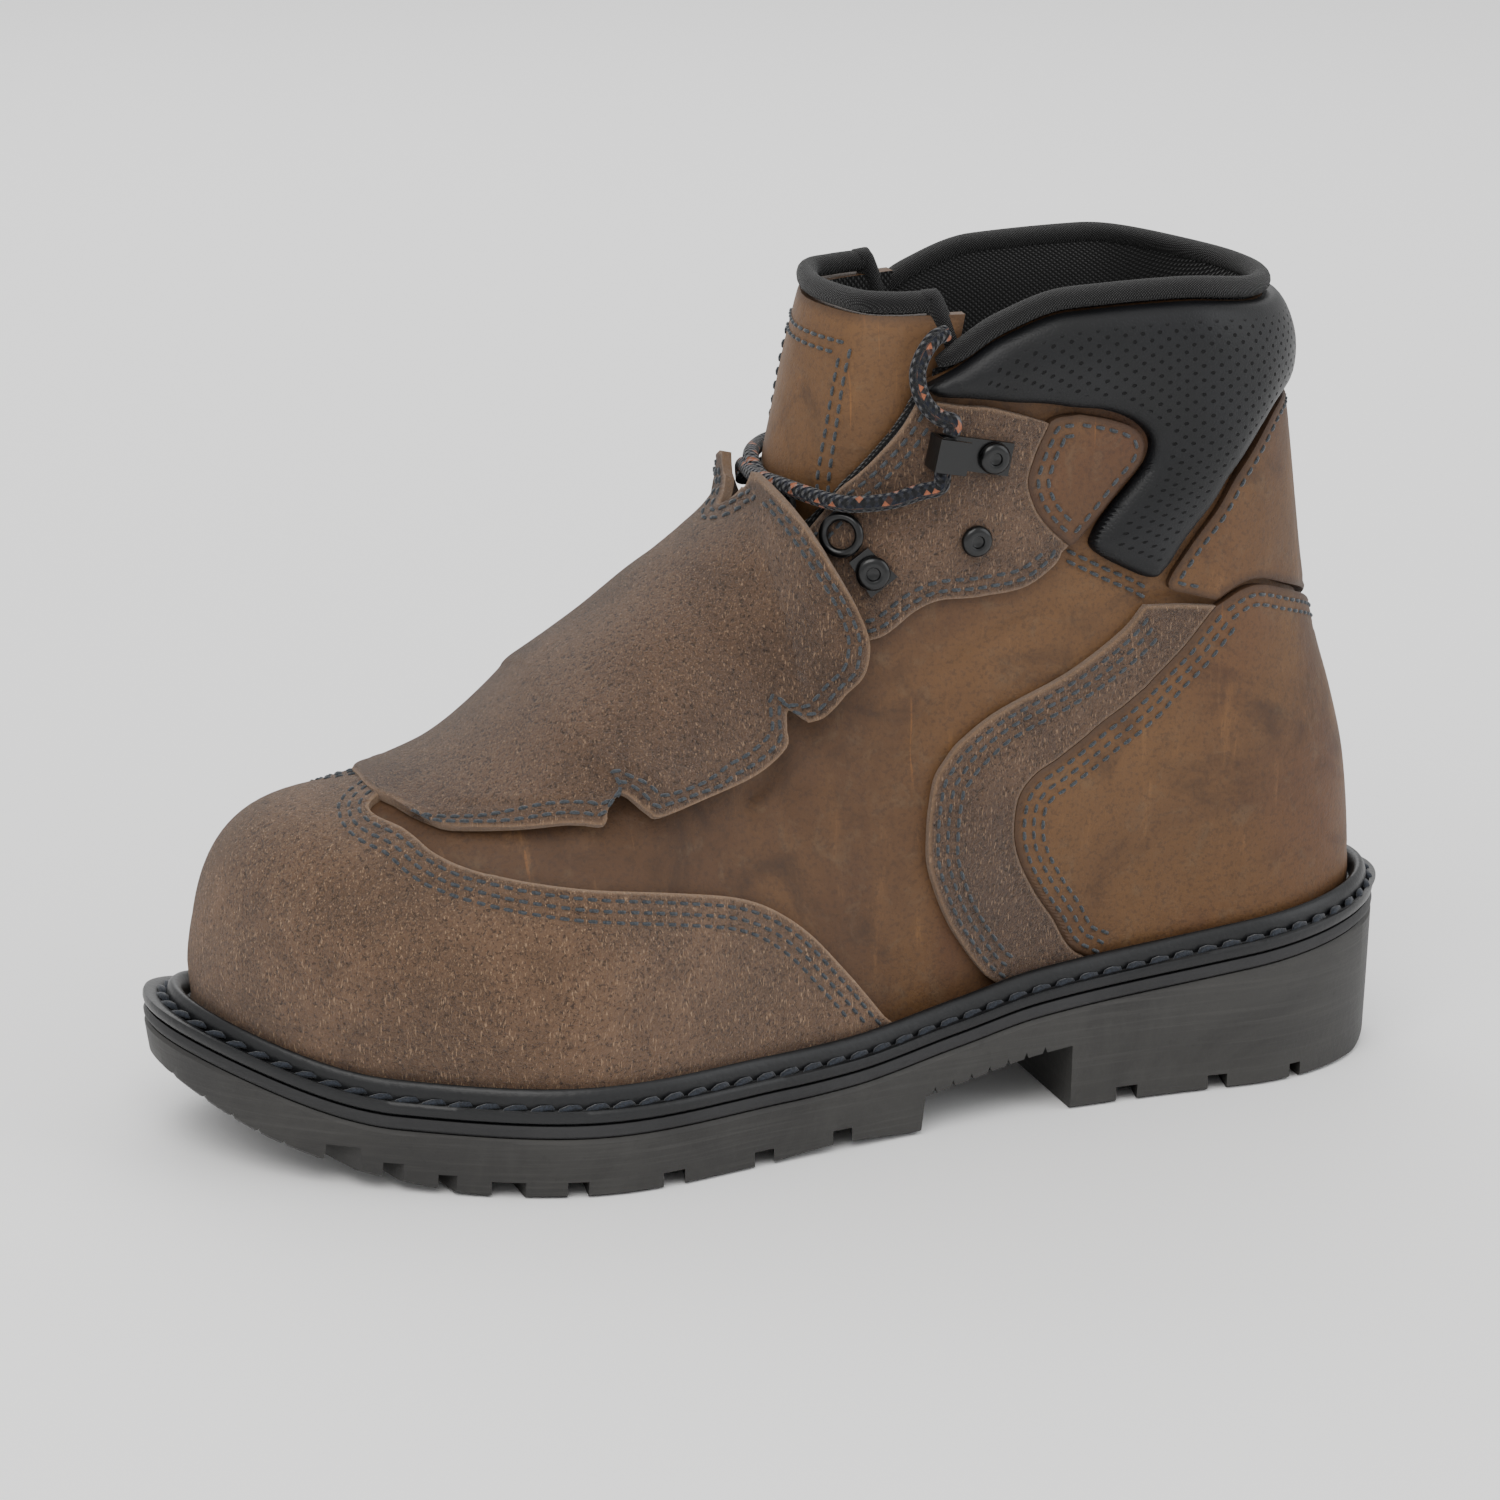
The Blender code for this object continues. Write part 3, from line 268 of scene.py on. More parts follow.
def ridge_height(x):
    """Height of the upper's ridge above the featherline."""
    height = TOE_BOX_HEIGHT * smooth(RIDGE, RIDGE_COLUMNS, "height", share(x))
    start, tip = place(0.805), -LENGTH / 2 + TOE_INSET
    return height * rounded((start - x) / (start - tip), 2.7)


def collar(x):
    return SEAT_HEIGHT + SHAFT_HEIGHT * smooth(COLLAR, COLLAR_COLUMNS, "height", share(x))


def slice_height(x, rise):
    """Height at x of a slice: rise 0 is the featherline and rise 1 the collar."""
    return feather(x) + rise * (collar(x) - feather(x))


def slice_front(rise):
    """Where a slice meets the ridge."""
    low = np.full(np.shape(rise), -LENGTH / 2 + TOE_INSET)
    high = np.full(np.shape(rise), place(0.38))
    for _ in range(34):
        middle = (low + high) / 2
        above = feather(middle) + ridge_height(middle) > slice_height(middle, rise)
        low, high = np.where(above, low, middle), np.where(above, middle, high)
    return (low + high) / 2


def slice_back(rise):
    return LENGTH / 2 * smooth(BACK, BACK_COLUMNS, "back", rise)


def half_width(x, rise):
    """Half width of the bare upper at x on a slice."""
    upward = np.clip(rise, 0, None)
    back = slice_back(upward)
    heel_start = place(HEEL_ROUND) + (back - place(0.031)) * 0.8
    foot = plan_half(x, place(-1), -LENGTH / 2 + TOE_INSET, FEATHER_INSET)
    shaft = SHAFT_WIDTH * smooth(BACK, BACK_COLUMNS, "half", upward)
    level = upward * (collar(x) - feather(x)) / ridge_height(x)
    swell = BULGE * np.sin(math.pi * np.clip(level / 0.7, 0, 1))
    upper_share = ease(upward, 0.02, 0.34) * ease(x, place(0.70), place(0.40))
    width = (foot + swell) * (1 - upper_share) + shaft * upper_share
    square = smooth(RIDGE, RIDGE_COLUMNS, "square", share(x))
    arch = np.sqrt(np.clip(1 - np.clip(level, 0, 1) ** square, 0, None))
    return width * arch * rounded((x - heel_start) / (back - heel_start), 2.0)


def form(around, rise):
    """Outer face of the bare upper, closed over the instep.

    around is 0 at the heel, 1 on the ridge and 2 at the heel again; rise is 0 at the featherline and 1 at the collar.
    """
    side, along = turn(around)
    upward = np.clip(rise, 0, None)
    front, back = slice_front(upward), slice_back(upward)
    x = back + (front - back) * (1 - np.cos(math.pi * along)) / 2
    centre = PLAN_SHIFT + (plan_offset(x) - PLAN_SHIFT) * (1 - 0.8 * ease(upward, 0.0, 0.7))
    return np.stack([x, centre + side * half_width(x, rise), slice_height(x, rise)], -1)


def form_normal(around, rise):
    step = 2e-3
    around, rise = np.broadcast_arrays(np.asarray(around, float), np.asarray(rise, float))
    across = form(around + step, rise) - form(around - step, rise)
    upward = form(around, rise + step) - form(around, rise - step)
    normal = np.cross(upward, across)
    return normal / np.linalg.norm(normal, axis=-1, keepdims=True)


def skin(around, rise, proud):
    """The form moved out by a distance, or in by a negative one."""
    around, rise = np.broadcast_arrays(np.asarray(around, float), np.asarray(rise, float))
    proud = np.broadcast_to(np.asarray(proud, float), around.shape)
    return form(around, rise) + form_normal(around, rise) * proud[..., None]


def spot(x, z, side):
    """Place around and rise of the form's point at x and z on one side."""
    rise = (z - feather(x)) / (collar(x) - feather(x))
    front, back = slice_front(np.clip(rise, 0, None)), slice_back(np.clip(rise, 0, None))
    along = np.arccos(np.clip(1 - 2 * (x - back) / (front - back), -1, 1)) / math.pi
    return np.where(side < 0, along, 2 - along), rise


def curve_through(points, per_span):
    """Points on a smooth curve through given ones."""
    points = np.asarray(points, float)
    ends = np.vstack([2 * points[0] - points[1], points, 2 * points[-1] - points[-2]])
    found = []
    for i in range(1, len(ends) - 2):
        a, b, c, d = ends[i - 1 : i + 3]
        for t in np.arange(per_span) / per_span:
            bend, twist = 2 * a - 5 * b + 4 * c - d, 3 * b - a - 3 * c + d
            found.append(0.5 * (2 * b + (c - a) * t + bend * t * t + twist * t**3))
    found.append(points[-1])
    return np.array(found)


def distances(points):
    """How far along a row of points each one is."""
    return np.r_[0, np.cumsum(np.linalg.norm(np.diff(points, axis=0), axis=1))]


def between(where, walked, values):
    """Rows of values at places along them."""
    return np.stack([np.interp(where, walked, values[:, k]) for k in range(values.shape[1])], -1)


def grid_faces(rows, columns, first=0, closed=False):
    faces = []
    for j in range(rows - 1):
        for k in range(columns if closed else columns - 1):
            a, b = first + j * columns + k, first + j * columns + (k + 1) % columns
            faces.append((a, b, b + columns, a + columns))
    return faces


def in_side_view(points):
    """Side-view points from shares: along the length, and of the shaft height above the seat's height."""
    return [(place(along), SEAT_HEIGHT + SHAFT_HEIGHT * height) for along, height in points]


def tread(x):
    return SEAT_HEIGHT * smooth(TREAD, TREAD_COLUMNS, "height", share(x))


def block(centre, size, turned=0.0):
    """Corners and faces of a box turned about the vertical."""
    c, s = math.cos(turned), math.sin(turned)
    points = []
    for k in range(8):
        x, y, z = (size[i] / 2 * (1 if k >> i & 1 else -1) for i in range(3))
        points.append((centre[0] + c * x - s * y, centre[1] + s * x + c * y, centre[2] + z))
    return points, [(0, 2, 3, 1), (4, 5, 7, 6), (0, 1, 5, 4), (2, 6, 7, 3), (0, 4, 6, 2), (1, 3, 7, 5)]


def joined(parts):
    points, faces = [], []
    for more, sides in parts:
        faces += [tuple(i + len(points) for i in side) for side in sides]
        points += more
    return points, faces


# Side grooves between the lugs: where along the length, how wide, and how the cut leans
GROOVES = (
    (0.105, 3.2 * MM, 0.0),
    (0.170, 5.0 * MM, 0.2),
    (0.248, 5.5 * MM, 0.2),
    (0.494, 4.5 * MM, 0.35),
    (0.562, 4.5 * MM, 0.35),
    (0.642, 5.0 * MM, 0.30),
    (0.722, 5.0 * MM, 0.15),
    (0.775, 7.5 * MM, 0.0),
    (0.822, 3.5 * MM, -0.2),
    (0.862, 3.5 * MM, -0.3),
    (0.905, 4.5 * MM, -0.5),
)


def groove_blocks():
    parts = []
    for along, width, lean in GROOVES:
        x = place(along)
        for side in (-1, 1):
            edge = float(plan_offset(x) + side * plan_half(x, LENGTH / 2, -LENGTH / 2, 0))
            middle = edge - side * (GROOVE_REACH / 2 - 4 * MM)
            height = float(tread(x)) + GROOVE_DEPTH - 10 * MM
            parts.append(block((x, middle, height), (width, GROOVE_REACH + 8 * MM, 20 * MM), side * lean))
    return joined(parts)


def rib_row(start, count, surface):
    """Small vee cuts right across the sole, for the fine ribs."""
    parts = []
    for k in range(count):
        x = start - RIB_PITCH * k
        z = float(surface(x))
        half = RIB_PITCH * 0.36
        ends = []
        for y in (-BALL_WIDTH, BALL_WIDTH):
            ends += [(x - half, y, z - 3 * MM), (x + half, y, z - 3 * MM), (x, y, z + RIB_DEPTH)]
        parts.append((ends, [(0, 2, 1), (3, 4, 5), (0, 1, 4, 3), (1, 2, 5, 4), (2, 0, 3, 5)]))
    return parts


def arch_underside(x):
    return line(x) - ARCH_THICK


def base_plan(around, proud):
    """Plan of the bare upper at the featherline, moved out by a distance."""
    point = skin(around, 0.0, proud)
    return point[..., 0], point[..., 1]


# Edges in the side view: share of the length, share of the shaft height above the seat
THROAT = (
    (0.422, 1.100), (0.422, 1.000), (0.428, 0.951), (0.440, 0.907), (0.455, 0.867), (0.468, 0.835),
    (0.482, 0.800), (0.500, 0.745), (0.524, 0.690), (0.560, 0.662), (0.620, 0.650),
)
CAP_EDGE = (
    (0.445, -0.100), (0.476, 0.000), (0.496, 0.050), (0.522, 0.110), (0.548, 0.152), (0.577, 0.181),
    (0.615, 0.201), (0.665, 0.219), (0.720, 0.232), (0.755, 0.241), (0.784, 0.253), (0.805, 0.271),
    (0.821, 0.297), (0.836, 0.325), (0.843, 0.350), (0.844, 0.420),
)
SADDLE_FRONT = (
    (0.241, 0.588), (0.259, 0.547), (0.312, 0.478), (0.364, 0.431), (0.391, 0.393), (0.407, 0.356),
    (0.417, 0.306), (0.421, 0.246), (0.421, 0.198), (0.413, 0.143), (0.401, 0.089), (0.386, 0.041),
    (0.371, 0.000), (0.352, -0.060),
)
COUNTER_FRONT = (
    (0.182, 0.578), (0.205, 0.521), (0.232, 0.468), (0.258, 0.425), (0.285, 0.389), (0.312, 0.352),
    (0.331, 0.330), (0.344, 0.301), (0.349, 0.266), (0.349, 0.222), (0.342, 0.177), (0.327, 0.122),
    (0.311, 0.074), (0.297, 0.025), (0.270, -0.060),
)
COUNTER_TOP = (
    (-0.02, 0.500), (0.060, 0.507), (0.087, 0.545), (0.115, 0.578), (0.141, 0.600), (0.160, 0.600),
    (0.182, 0.578),
)
BACK_PANEL_FRONT = (
    (0.198, 0.598), (0.222, 0.618), (0.208, 0.671), (0.185, 0.734), (0.164, 0.800), (0.139, 0.860),
    (0.118, 0.888), (0.090, 0.892), (-0.02, 0.888),
)
EYESTAY_FRONT = (
    (0.428, 0.951), (0.440, 0.907), (0.455, 0.867), (0.468, 0.835), (0.482, 0.800), (0.496, 0.745),
    (0.508, 0.700),
)
EYESTAY_LOW = (
    (0.508, 0.625), (0.486, 0.575), (0.457, 0.573), (0.429, 0.613), (0.406, 0.628), (0.373, 0.629),
    (0.341, 0.638), (0.317, 0.670), (0.310, 0.698),
)
TAB_FRONT = (
    (0.306, 0.700), (0.322, 0.731), (0.335, 0.769), (0.341, 0.811), (0.336, 0.853), (0.328, 0.890),
    (0.322, 0.910),
)
EYESTAY_TOP = (
    (0.345, 0.918),
    (0.363, 0.930),
    (0.402, 0.944),
    (0.420, 0.950),
)
TAB_BACK = (
    (0.300, 0.915), (0.274, 0.902), (0.255, 0.885), (0.247, 0.862), (0.249, 0.831), (0.264, 0.793),
    (0.287, 0.735), (0.300, 0.706),
)
PAD_EDGE = (
    (0.425, 1.000), (0.424, 0.975), (0.414, 0.958), (0.395, 0.953), (0.362, 0.943), (0.315, 0.930),
    (0.280, 0.918), (0.256, 0.897), (0.242, 0.866), (0.243, 0.832), (0.255, 0.797), (0.272, 0.757),
    (0.285, 0.718), (0.286, 0.690), (0.260, 0.655), (0.236, 0.634), (0.224, 0.650), (0.211, 0.690),
    (0.191, 0.742), (0.171, 0.805), (0.147, 0.868), (0.124, 0.902), (0.095, 0.906), (-0.02, 0.906),
)
# Metatarsal guard: share along the ridge, then share and height of its side edge with the two notches
GUARD = (
    (0.837, 0.810, 0.318),
    (0.815, 0.796, 0.302),
    (0.785, 0.772, 0.301),
    (0.750, 0.740, 0.306),
    (0.718, 0.708, 0.313),
    (0.700, 0.686, 0.308),
    (0.694, 0.681, 0.330),
    (0.684, 0.671, 0.350),
    (0.672, 0.655, 0.322),
    (0.660, 0.645, 0.314),
    (0.635, 0.608, 0.335),
    (0.610, 0.565, 0.362),
    (0.594, 0.536, 0.400),
    (0.586, 0.533, 0.430),
    (0.580, 0.529, 0.456),
    (0.574, 0.514, 0.441),
    (0.567, 0.500, 0.450),
    (0.560, 0.487, 0.488),
    (0.553, 0.474, 0.522),
    (0.547, 0.469, 0.570),
    (0.542, 0.472, 0.616),
    (0.538, 0.479, 0.670),
    (0.535, 0.487, 0.722),
    (0.533, 0.495, 0.772),
    (0.531, 0.504, 0.808),
)
# Tongue, from below the throat to its top: height, and share along the length of its side edge
TONGUE = (
    (0.600, 0.505), (0.640, 0.493), (0.680, 0.480), (0.720, 0.468), (0.765, 0.455), (0.810, 0.441),
    (0.860, 0.427), (0.910, 0.415), (0.960, 0.405), (1.000, 0.398), (1.040, 0.392), (1.080, 0.388),
)
# Across the tongue: share of the way from its middle to the throat's edge (2: its own edge), rise off the form
TONGUE_ACROSS_COLUMNS = ("way", "proud")
TONGUE_ACROSS = (
    (0.00, 0.3 * MM), (0.45, -0.2 * MM), (0.76, -2.4 * MM), (1.02, -3.9 * MM), (2.00, -3.9 * MM),
)
# Where the hardware sits in the side view
HOOK_SPOT = (0.372, 0.859)
HOOK_TIP = (0.411, 0.875)
RING_RIVET_SPOT = (0.462, 0.681)
RING_SPOT = (0.479, 0.738)
RIVET_SPOT = (0.383, 0.723)


def rise_at(around, z):
    """Rise of the form's point at a place around and a height."""
    rise = np.full(np.shape(around), 0.8)
    for _ in range(8):
        x = form(around, rise)[..., 0]
        rise = (z - feather(x)) / (collar(x) - feather(x))
    return rise


def tongue_grid(inward):
    ways, proud = (column(TONGUE_ACROSS, TONGUE_ACROSS_COLUMNS, name) for name in TONGUE_ACROSS_COLUMNS)
    throat_height, throat_share = np.array(THROAT)[::-1, 1], np.array(THROAT)[::-1, 0]
    rows = []
    for height, along in TONGUE:
        z = SEAT_HEIGHT + SHAFT_HEIGHT * height
        opening = float(np.interp(height, throat_height, throat_share))
        throat = float(spot(place(opening), z, -1)[0]) if height > THROAT[-3][1] else 0.93
        edge = min(float(spot(place(along), z, -1)[0]), throat - 0.05)
        half = np.where(ways < 2, 1 - (1 - throat) * ways, edge)
        around = np.r_[half[:0:-1], 2 - half]
        offset = np.r_[proud[:0:-1], proud]
        bulge = ease(height, TONGUE[2][0], TONGUE[5][0])
        offset = TONGUE_ACROSS[-1][1] * (1 - bulge) + offset * bulge
        rows.append(skin(around, rise_at(around, z), offset - inward))
    return np.array(rows)


class Seat:
    """A point on the upper's layers with its own axes: forward to another point, up, and out."""

    def __init__(self, shares, side, proud, toward):
        x, z = in_side_view([shares])[0]
        around, rise = spot(np.array(x), z, side)
        self.origin = skin(around, rise, proud)
        self.out = form_normal(around, rise)
        x, z = in_side_view([toward])[0]
        forward = skin(*spot(np.array(x), z, side), proud) - self.origin
        forward -= self.out * (forward @ self.out)
        self.forward = forward / np.linalg.norm(forward)
        self.up = np.cross(self.out, self.forward) * side

    def at(self, forward, up, out):
        return self.origin + forward * self.forward + up * self.up + out * self.out


# Lace from a hook on one side to the ring on the other: share, height, side (1 the hook's own), lift off the form
LACE_OVER = (
    (0.430, 0.813, 1, 6.4 * MM),
    (0.452, 0.797, 1, 6.0 * MM),
    (0.478, 0.789, 1, 5.6 * MM),
    (0.503, 0.795, 1, 5.2 * MM),
    (0.530, 0.790, 1, 5.0 * MM),
    (0.503, 0.784, -1, 4.8 * MM),
    (0.507, 0.765, -1, 4.4 * MM),
)
LACE_UNDER = (
    (0.430, 0.817, 1, 6.4 * MM),
    (0.452, 0.803, 1, 5.8 * MM),
    (0.478, 0.797, 1, 4.8 * MM),
    (0.503, 0.803, 1, 3.8 * MM),
    (0.530, 0.787, 1, 3.2 * MM),
    (0.504, 0.770, -1, 3.2 * MM),
    (0.507, 0.755, -1, 3.4 * MM),
)
# Past the hook: up before the collar's tip and over it
LACE_END = (
    (0.416, 0.933, 1, 6.4 * MM),
    (0.424, 0.952, 1, 5.6 * MM),
    (0.428, 0.976, 1, 4.8 * MM),
    (0.428, 1.003, 1, 4.0 * MM),
    (0.423, 1.030, 1, 3.0 * MM),
    (0.415, 1.050, 1, 1.4 * MM),
    (0.406, 1.056, 1, -0.2 * MM),
)
# Through a hook, down to up, as shares of its width from its middle
HOOK_PASS = (-1.0, -0.5, 0.45)


def route(rows, side):
    found = []
    for along, height, same, lift in rows:
        z = SEAT_HEIGHT + SHAFT_HEIGHT * height
        around, rise = spot(np.array(place(along)), z, side * same)
        found.append(skin(around, rise, lift))
    return found


def in_hook(side, shares):
    """Points on the lace's line through a hook."""
    hook = Seat(HOOK_SPOT, side, ON_LEATHER, HOOK_TIP)
    forward = HOOK_REACH - PLATE_THICK - GAP - LACE / 2
    return [hook.at(forward, part * HOOK_WIDTH, PLATE_THICK + HOOK_MOUTH / 2) for part in shares]


# The upper's walk: 0 at the featherline, 1 at the collar, even along ridge and heel together
WALK_RISES = np.linspace(0, 1, 1500)
_walked = sum(np.linalg.norm(np.diff(form(a, WALK_RISES), axis=0), axis=1) * b for a, b in ((1.0, 1.0), (0.0, 0.8)))
WALKS = np.r_[0, np.cumsum(_walked)] / _walked.sum()
TUCK = -0.030


def rise_of(walk):
    walk = np.asarray(walk, float)
    return np.where(walk < 0, walk * 0.9, np.interp(walk, WALKS, WALK_RISES) + np.clip(walk - 1, 0, None))


def walk_of(rise):
    rise = np.asarray(rise, float)
    return np.where(rise < 0, rise / 0.9, np.interp(rise, WALK_RISES, WALKS) + np.clip(rise - 1, 0, None))


def slopes(around, walk):
    """How the form moves with around and with walk."""
    da, dw = 1.0e-3, 1.0e-3
    along = (form(around + da, rise_of(walk)) - form(around - da, rise_of(walk))) / (2 * da)
    upward = (form(around, rise_of(walk + dw)) - form(around, rise_of(walk - dw))) / (2 * dw)
    return along, upward


def unit(v):
    return v / np.maximum(np.linalg.norm(v, axis=-1, keepdims=True), 1e-12)


def outward(around, walk):
    along, upward = slopes(around, walk)
    return unit(np.cross(upward, along))


def on_form(around, walk, lift):
    """Points lifted off the bare upper."""
    lift = np.broadcast_to(np.asarray(lift, float), np.shape(around))
    return form(around, rise_of(walk)) + outward(around, walk) * lift[..., None]


def marks(edge, side):
    """Places (around, walk) on the form for an edge's shares in the side view."""
    x, z = np.array(in_side_view(edge)).T
    around, rise = spot(x, z, side)
    return np.stack([around, walk_of(rise)], -1)


def mirror_heel(lateral):
    return np.stack([-lateral[::-1, 0], lateral[::-1, 1]], -1)


def evenly(points, step):
    """A curve through places on the form, sampled evenly along its real length."""
    fine = curve_through(np.asarray(points, float), 14)
    walked = distances(form(fine[:, 0], rise_of(fine[:, 1])))
    count = max(3, int(round(walked[-1] / step)) + 1)
    return between(np.linspace(0, walked[-1], count), walked, fine)


def nearest(points, others):
    """Distance of each point to the nearest of the others."""
    found = np.empty(len(points))
    for i in range(0, len(points), 1500):
        gaps = points[i : i + 1500, None] - others[None]
        found[i : i + 1500] = np.sqrt((gaps * gaps).sum(2).min(1))
    return found


def inside(points, loop):
    found = np.zeros(len(points), bool)
    x, y = points.T
    for (ax, ay), (bx, by) in zip(loop, np.roll(loop, -1, 0)):
        crosses = (ay > y) != (by > y)
        found ^= crosses & (x < (bx - ax) * (y - ay) / (by - ay + 1e-15) + ax)
    return found


def mesh_object(name, points, faces, materials, face_slots=None, sharp=38, numbers=None, vectors=None):
    mesh = bpy.data.meshes.new(name)
    mesh.from_pydata(np.asarray(points, float).tolist(), [], [tuple(f) for f in faces])
    for material in materials:
        mesh.materials.append(finish(material))
    if face_slots is not None:
        mesh.polygons.foreach_set("material_index", np.asarray(face_slots, np.int32))
    for key, values in (numbers or {}).items():
        mesh.attributes.new(key, "FLOAT", "POINT").data.foreach_set("value", np.asarray(values, np.float32))
    for key, values in (vectors or {}).items():
        data = np.asarray(values, np.float32).ravel()
        mesh.attributes.new(key, "FLOAT_VECTOR", "POINT").data.foreach_set("vector", data)
    mesh.validate()
    mesh.shade_smooth()
    if sharp:
        mesh.set_sharp_from_angle(angle=math.radians(sharp))
    piece = bpy.data.objects.new(name, mesh)
    bpy.context.scene.collection.objects.link(piece)
    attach(piece, "root")
    return piece


# A sheet's points: how far in its rows along the edge are, how far apart the rest are, how high its underside is
SHEET_RINGS = (0.4 * MM, 1.0 * MM, 2.0 * MM, 3.4 * MM)
SHEET_SPACING = 2.2 * MM
SHEET_EDGE_STEP = 1.3 * MM
SHEET_LOW = LAYER_GAP * 0.3


def wall_faces(faces, total):
    """Faces that join the border of some faces to that of their copies, numbered on by a total."""
    uses = dict.fromkeys((i, j) for f in faces for i, j in zip(f, f[1:] + f[:1]))
    return [(j, i, i + total, j + total) for i, j in uses if (j, i) not in uses]


class Sheet:
    """A piece of leather cut from the form along a closed outline of edges."""

    def __init__(self, edges):
        edges = [evenly(edge, SHEET_EDGE_STEP) for edge in edges]
        loop = np.vstack([edge[:-1] for edge in edges])
        area = np.sum(loop[:, 0] * np.roll(loop[:, 1], -1) - np.roll(loop[:, 0], -1) * loop[:, 1])
        self.turn = 1.0 if area > 0 else -1.0
        self.loop = loop
        self.rim = form(loop[:, 0], rise_of(loop[:, 1]))
        self.starts = np.r_[0, np.cumsum([len(edge) - 1 for edge in edges])]

    def inset(self, distance, edge=None):
        """The outline, or one edge, moved in over the form by a distance, where it stays clear of the rest."""
        loop, rim = self.loop, self.rim
        ahead = unit(np.roll(rim, -1, 0) - np.roll(rim, 1, 0))
        place_now = loop.copy()
        steps = max(1, int(math.ceil(distance / (1.2 * MM))))
        for _ in range(steps):
            along, upward = slopes(place_now[:, 0], place_now[:, 1])
            inward = np.cross(unit(np.cross(upward, along)), ahead) * -self.turn
            inward = unit(inward) * distance / steps
            aa, au, uu = (along * along).sum(1), (along * upward).sum(1), (upward * upward).sum(1)
            ra, ru = (along * inward).sum(1), (upward * inward).sum(1)
            det = aa * uu - au * au
            place_now = place_now + np.stack([(ra * uu - ru * au) / det, (ru * aa - ra * au) / det], -1)
        if edge is not None:
            place_now = place_now[self.starts[edge] : self.starts[edge + 1]]
        clear = nearest(form(place_now[:, 0], rise_of(place_now[:, 1])), rim) > 0.93 * distance
        return place_now[clear]

    def mesh(self, node, material, slot, lift):
        """A closed sheet: its top at lift(distance from the edge, places) and its underside just off the upper."""
        spacing = SHEET_SPACING
        rows = [self.inset(ring) for ring in SHEET_RINGS]
        centre = self.loop.mean(0)
        along, upward = slopes(*centre)
        steps = spacing / np.array([np.linalg.norm(along), np.linalg.norm(upward)])
        lows, highs = self.loop.min(0), self.loop.max(0)
        a, w = np.meshgrid(np.arange(lows[0], highs[0], steps[0]), np.arange(lows[1], highs[1], steps[1] * 0.87))
        a = a + (np.arange(len(a)) % 2)[:, None] * steps[0] / 2
        grid = np.stack([a.ravel(), w.ravel()], -1)
        grid = grid[inside(grid, self.loop)]
        far = nearest(form(grid[:, 0], rise_of(grid[:, 1])), self.rim) > SHEET_RINGS[-1] + 0.55 * spacing
        places = np.vstack([self.loop] + rows + [grid[far]])
        scale = 1 / steps
        count = len(self.loop)
        fence = [(i, (i + 1) % count) for i in range(count)]
        flat = [Vector(p) for p in (places * scale).tolist()]
        found, _, faces, _, _, _ = delaunay_2d_cdt(flat, fence, [], 1, 1e-5)
        places = np.array([v[:] for v in found]) / scale
        away = nearest(form(places[:, 0], rise_of(places[:, 1])), self.rim)
        top = on_form(places[:, 0], places[:, 1], lift(away, places))
        under = on_form(places[:, 0], places[:, 1], SHEET_LOW)
        faces = [tuple(f) for f in faces]
        total = len(places)
        sides = faces + [tuple(i + total for i in f[::-1]) for f in faces] + wall_faces(faces, total)
        cloth = np.column_stack([places * scale * spacing * 1000, np.zeros(total)])
        numbers = {"rim": np.r_[away, np.zeros(total)] * 1000}
        vectors = {"cloth": np.vstack([cloth, cloth])}
        points = np.vstack([top, under])
        piece = mesh_object("boot_" + node, points, sides, [material], numbers=numbers, vectors=vectors)
        return settled(piece, slot, node)


def outward_first(piece):
    work = bmesh.new()
    work.from_mesh(piece.data)
    bmesh.ops.recalc_face_normals(work, faces=work.faces)
    work.to_mesh(piece.data)
    work.free()


def settled(piece, slot, *replaced):
    """A piece with its faces turned outward and the solids that it stands for hidden; its slot is not used."""
    outward_first(piece)
    if replaced:
        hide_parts(*replaced)
    return piece


def sewn(thick, seams, crown=0.0, reach=14 * MM, edge=0.8):
    """A lift for a sheet: soft at its edge, pressed in along seams at the given distances, and crowned if padded."""

    def lift(away, places):
        rim = edge + (1 - edge) * np.clip(away / (0.9 * MM), 0, 1) ** 0.6
        height = thick * rim
        for seam in seams:
            height = height - 0.30 * MM * np.exp(-(((away - seam) / (0.8 * MM)) ** 2))
        part = np.clip(away / reach, 0, 1)
        return height + crown * np.sqrt(1 - (1 - part) ** 2)

    return lift


# A stitch: stations along it, each a share of its length, of its width and of its height
STITCH = ((-0.50, 0.35, -0.55), (-0.34, 0.9, 0.25), (0.0, 1.0, 0.55), (0.34, 0.9, 0.25), (0.50, 0.35, -0.55))
STITCH_SIDES = 5


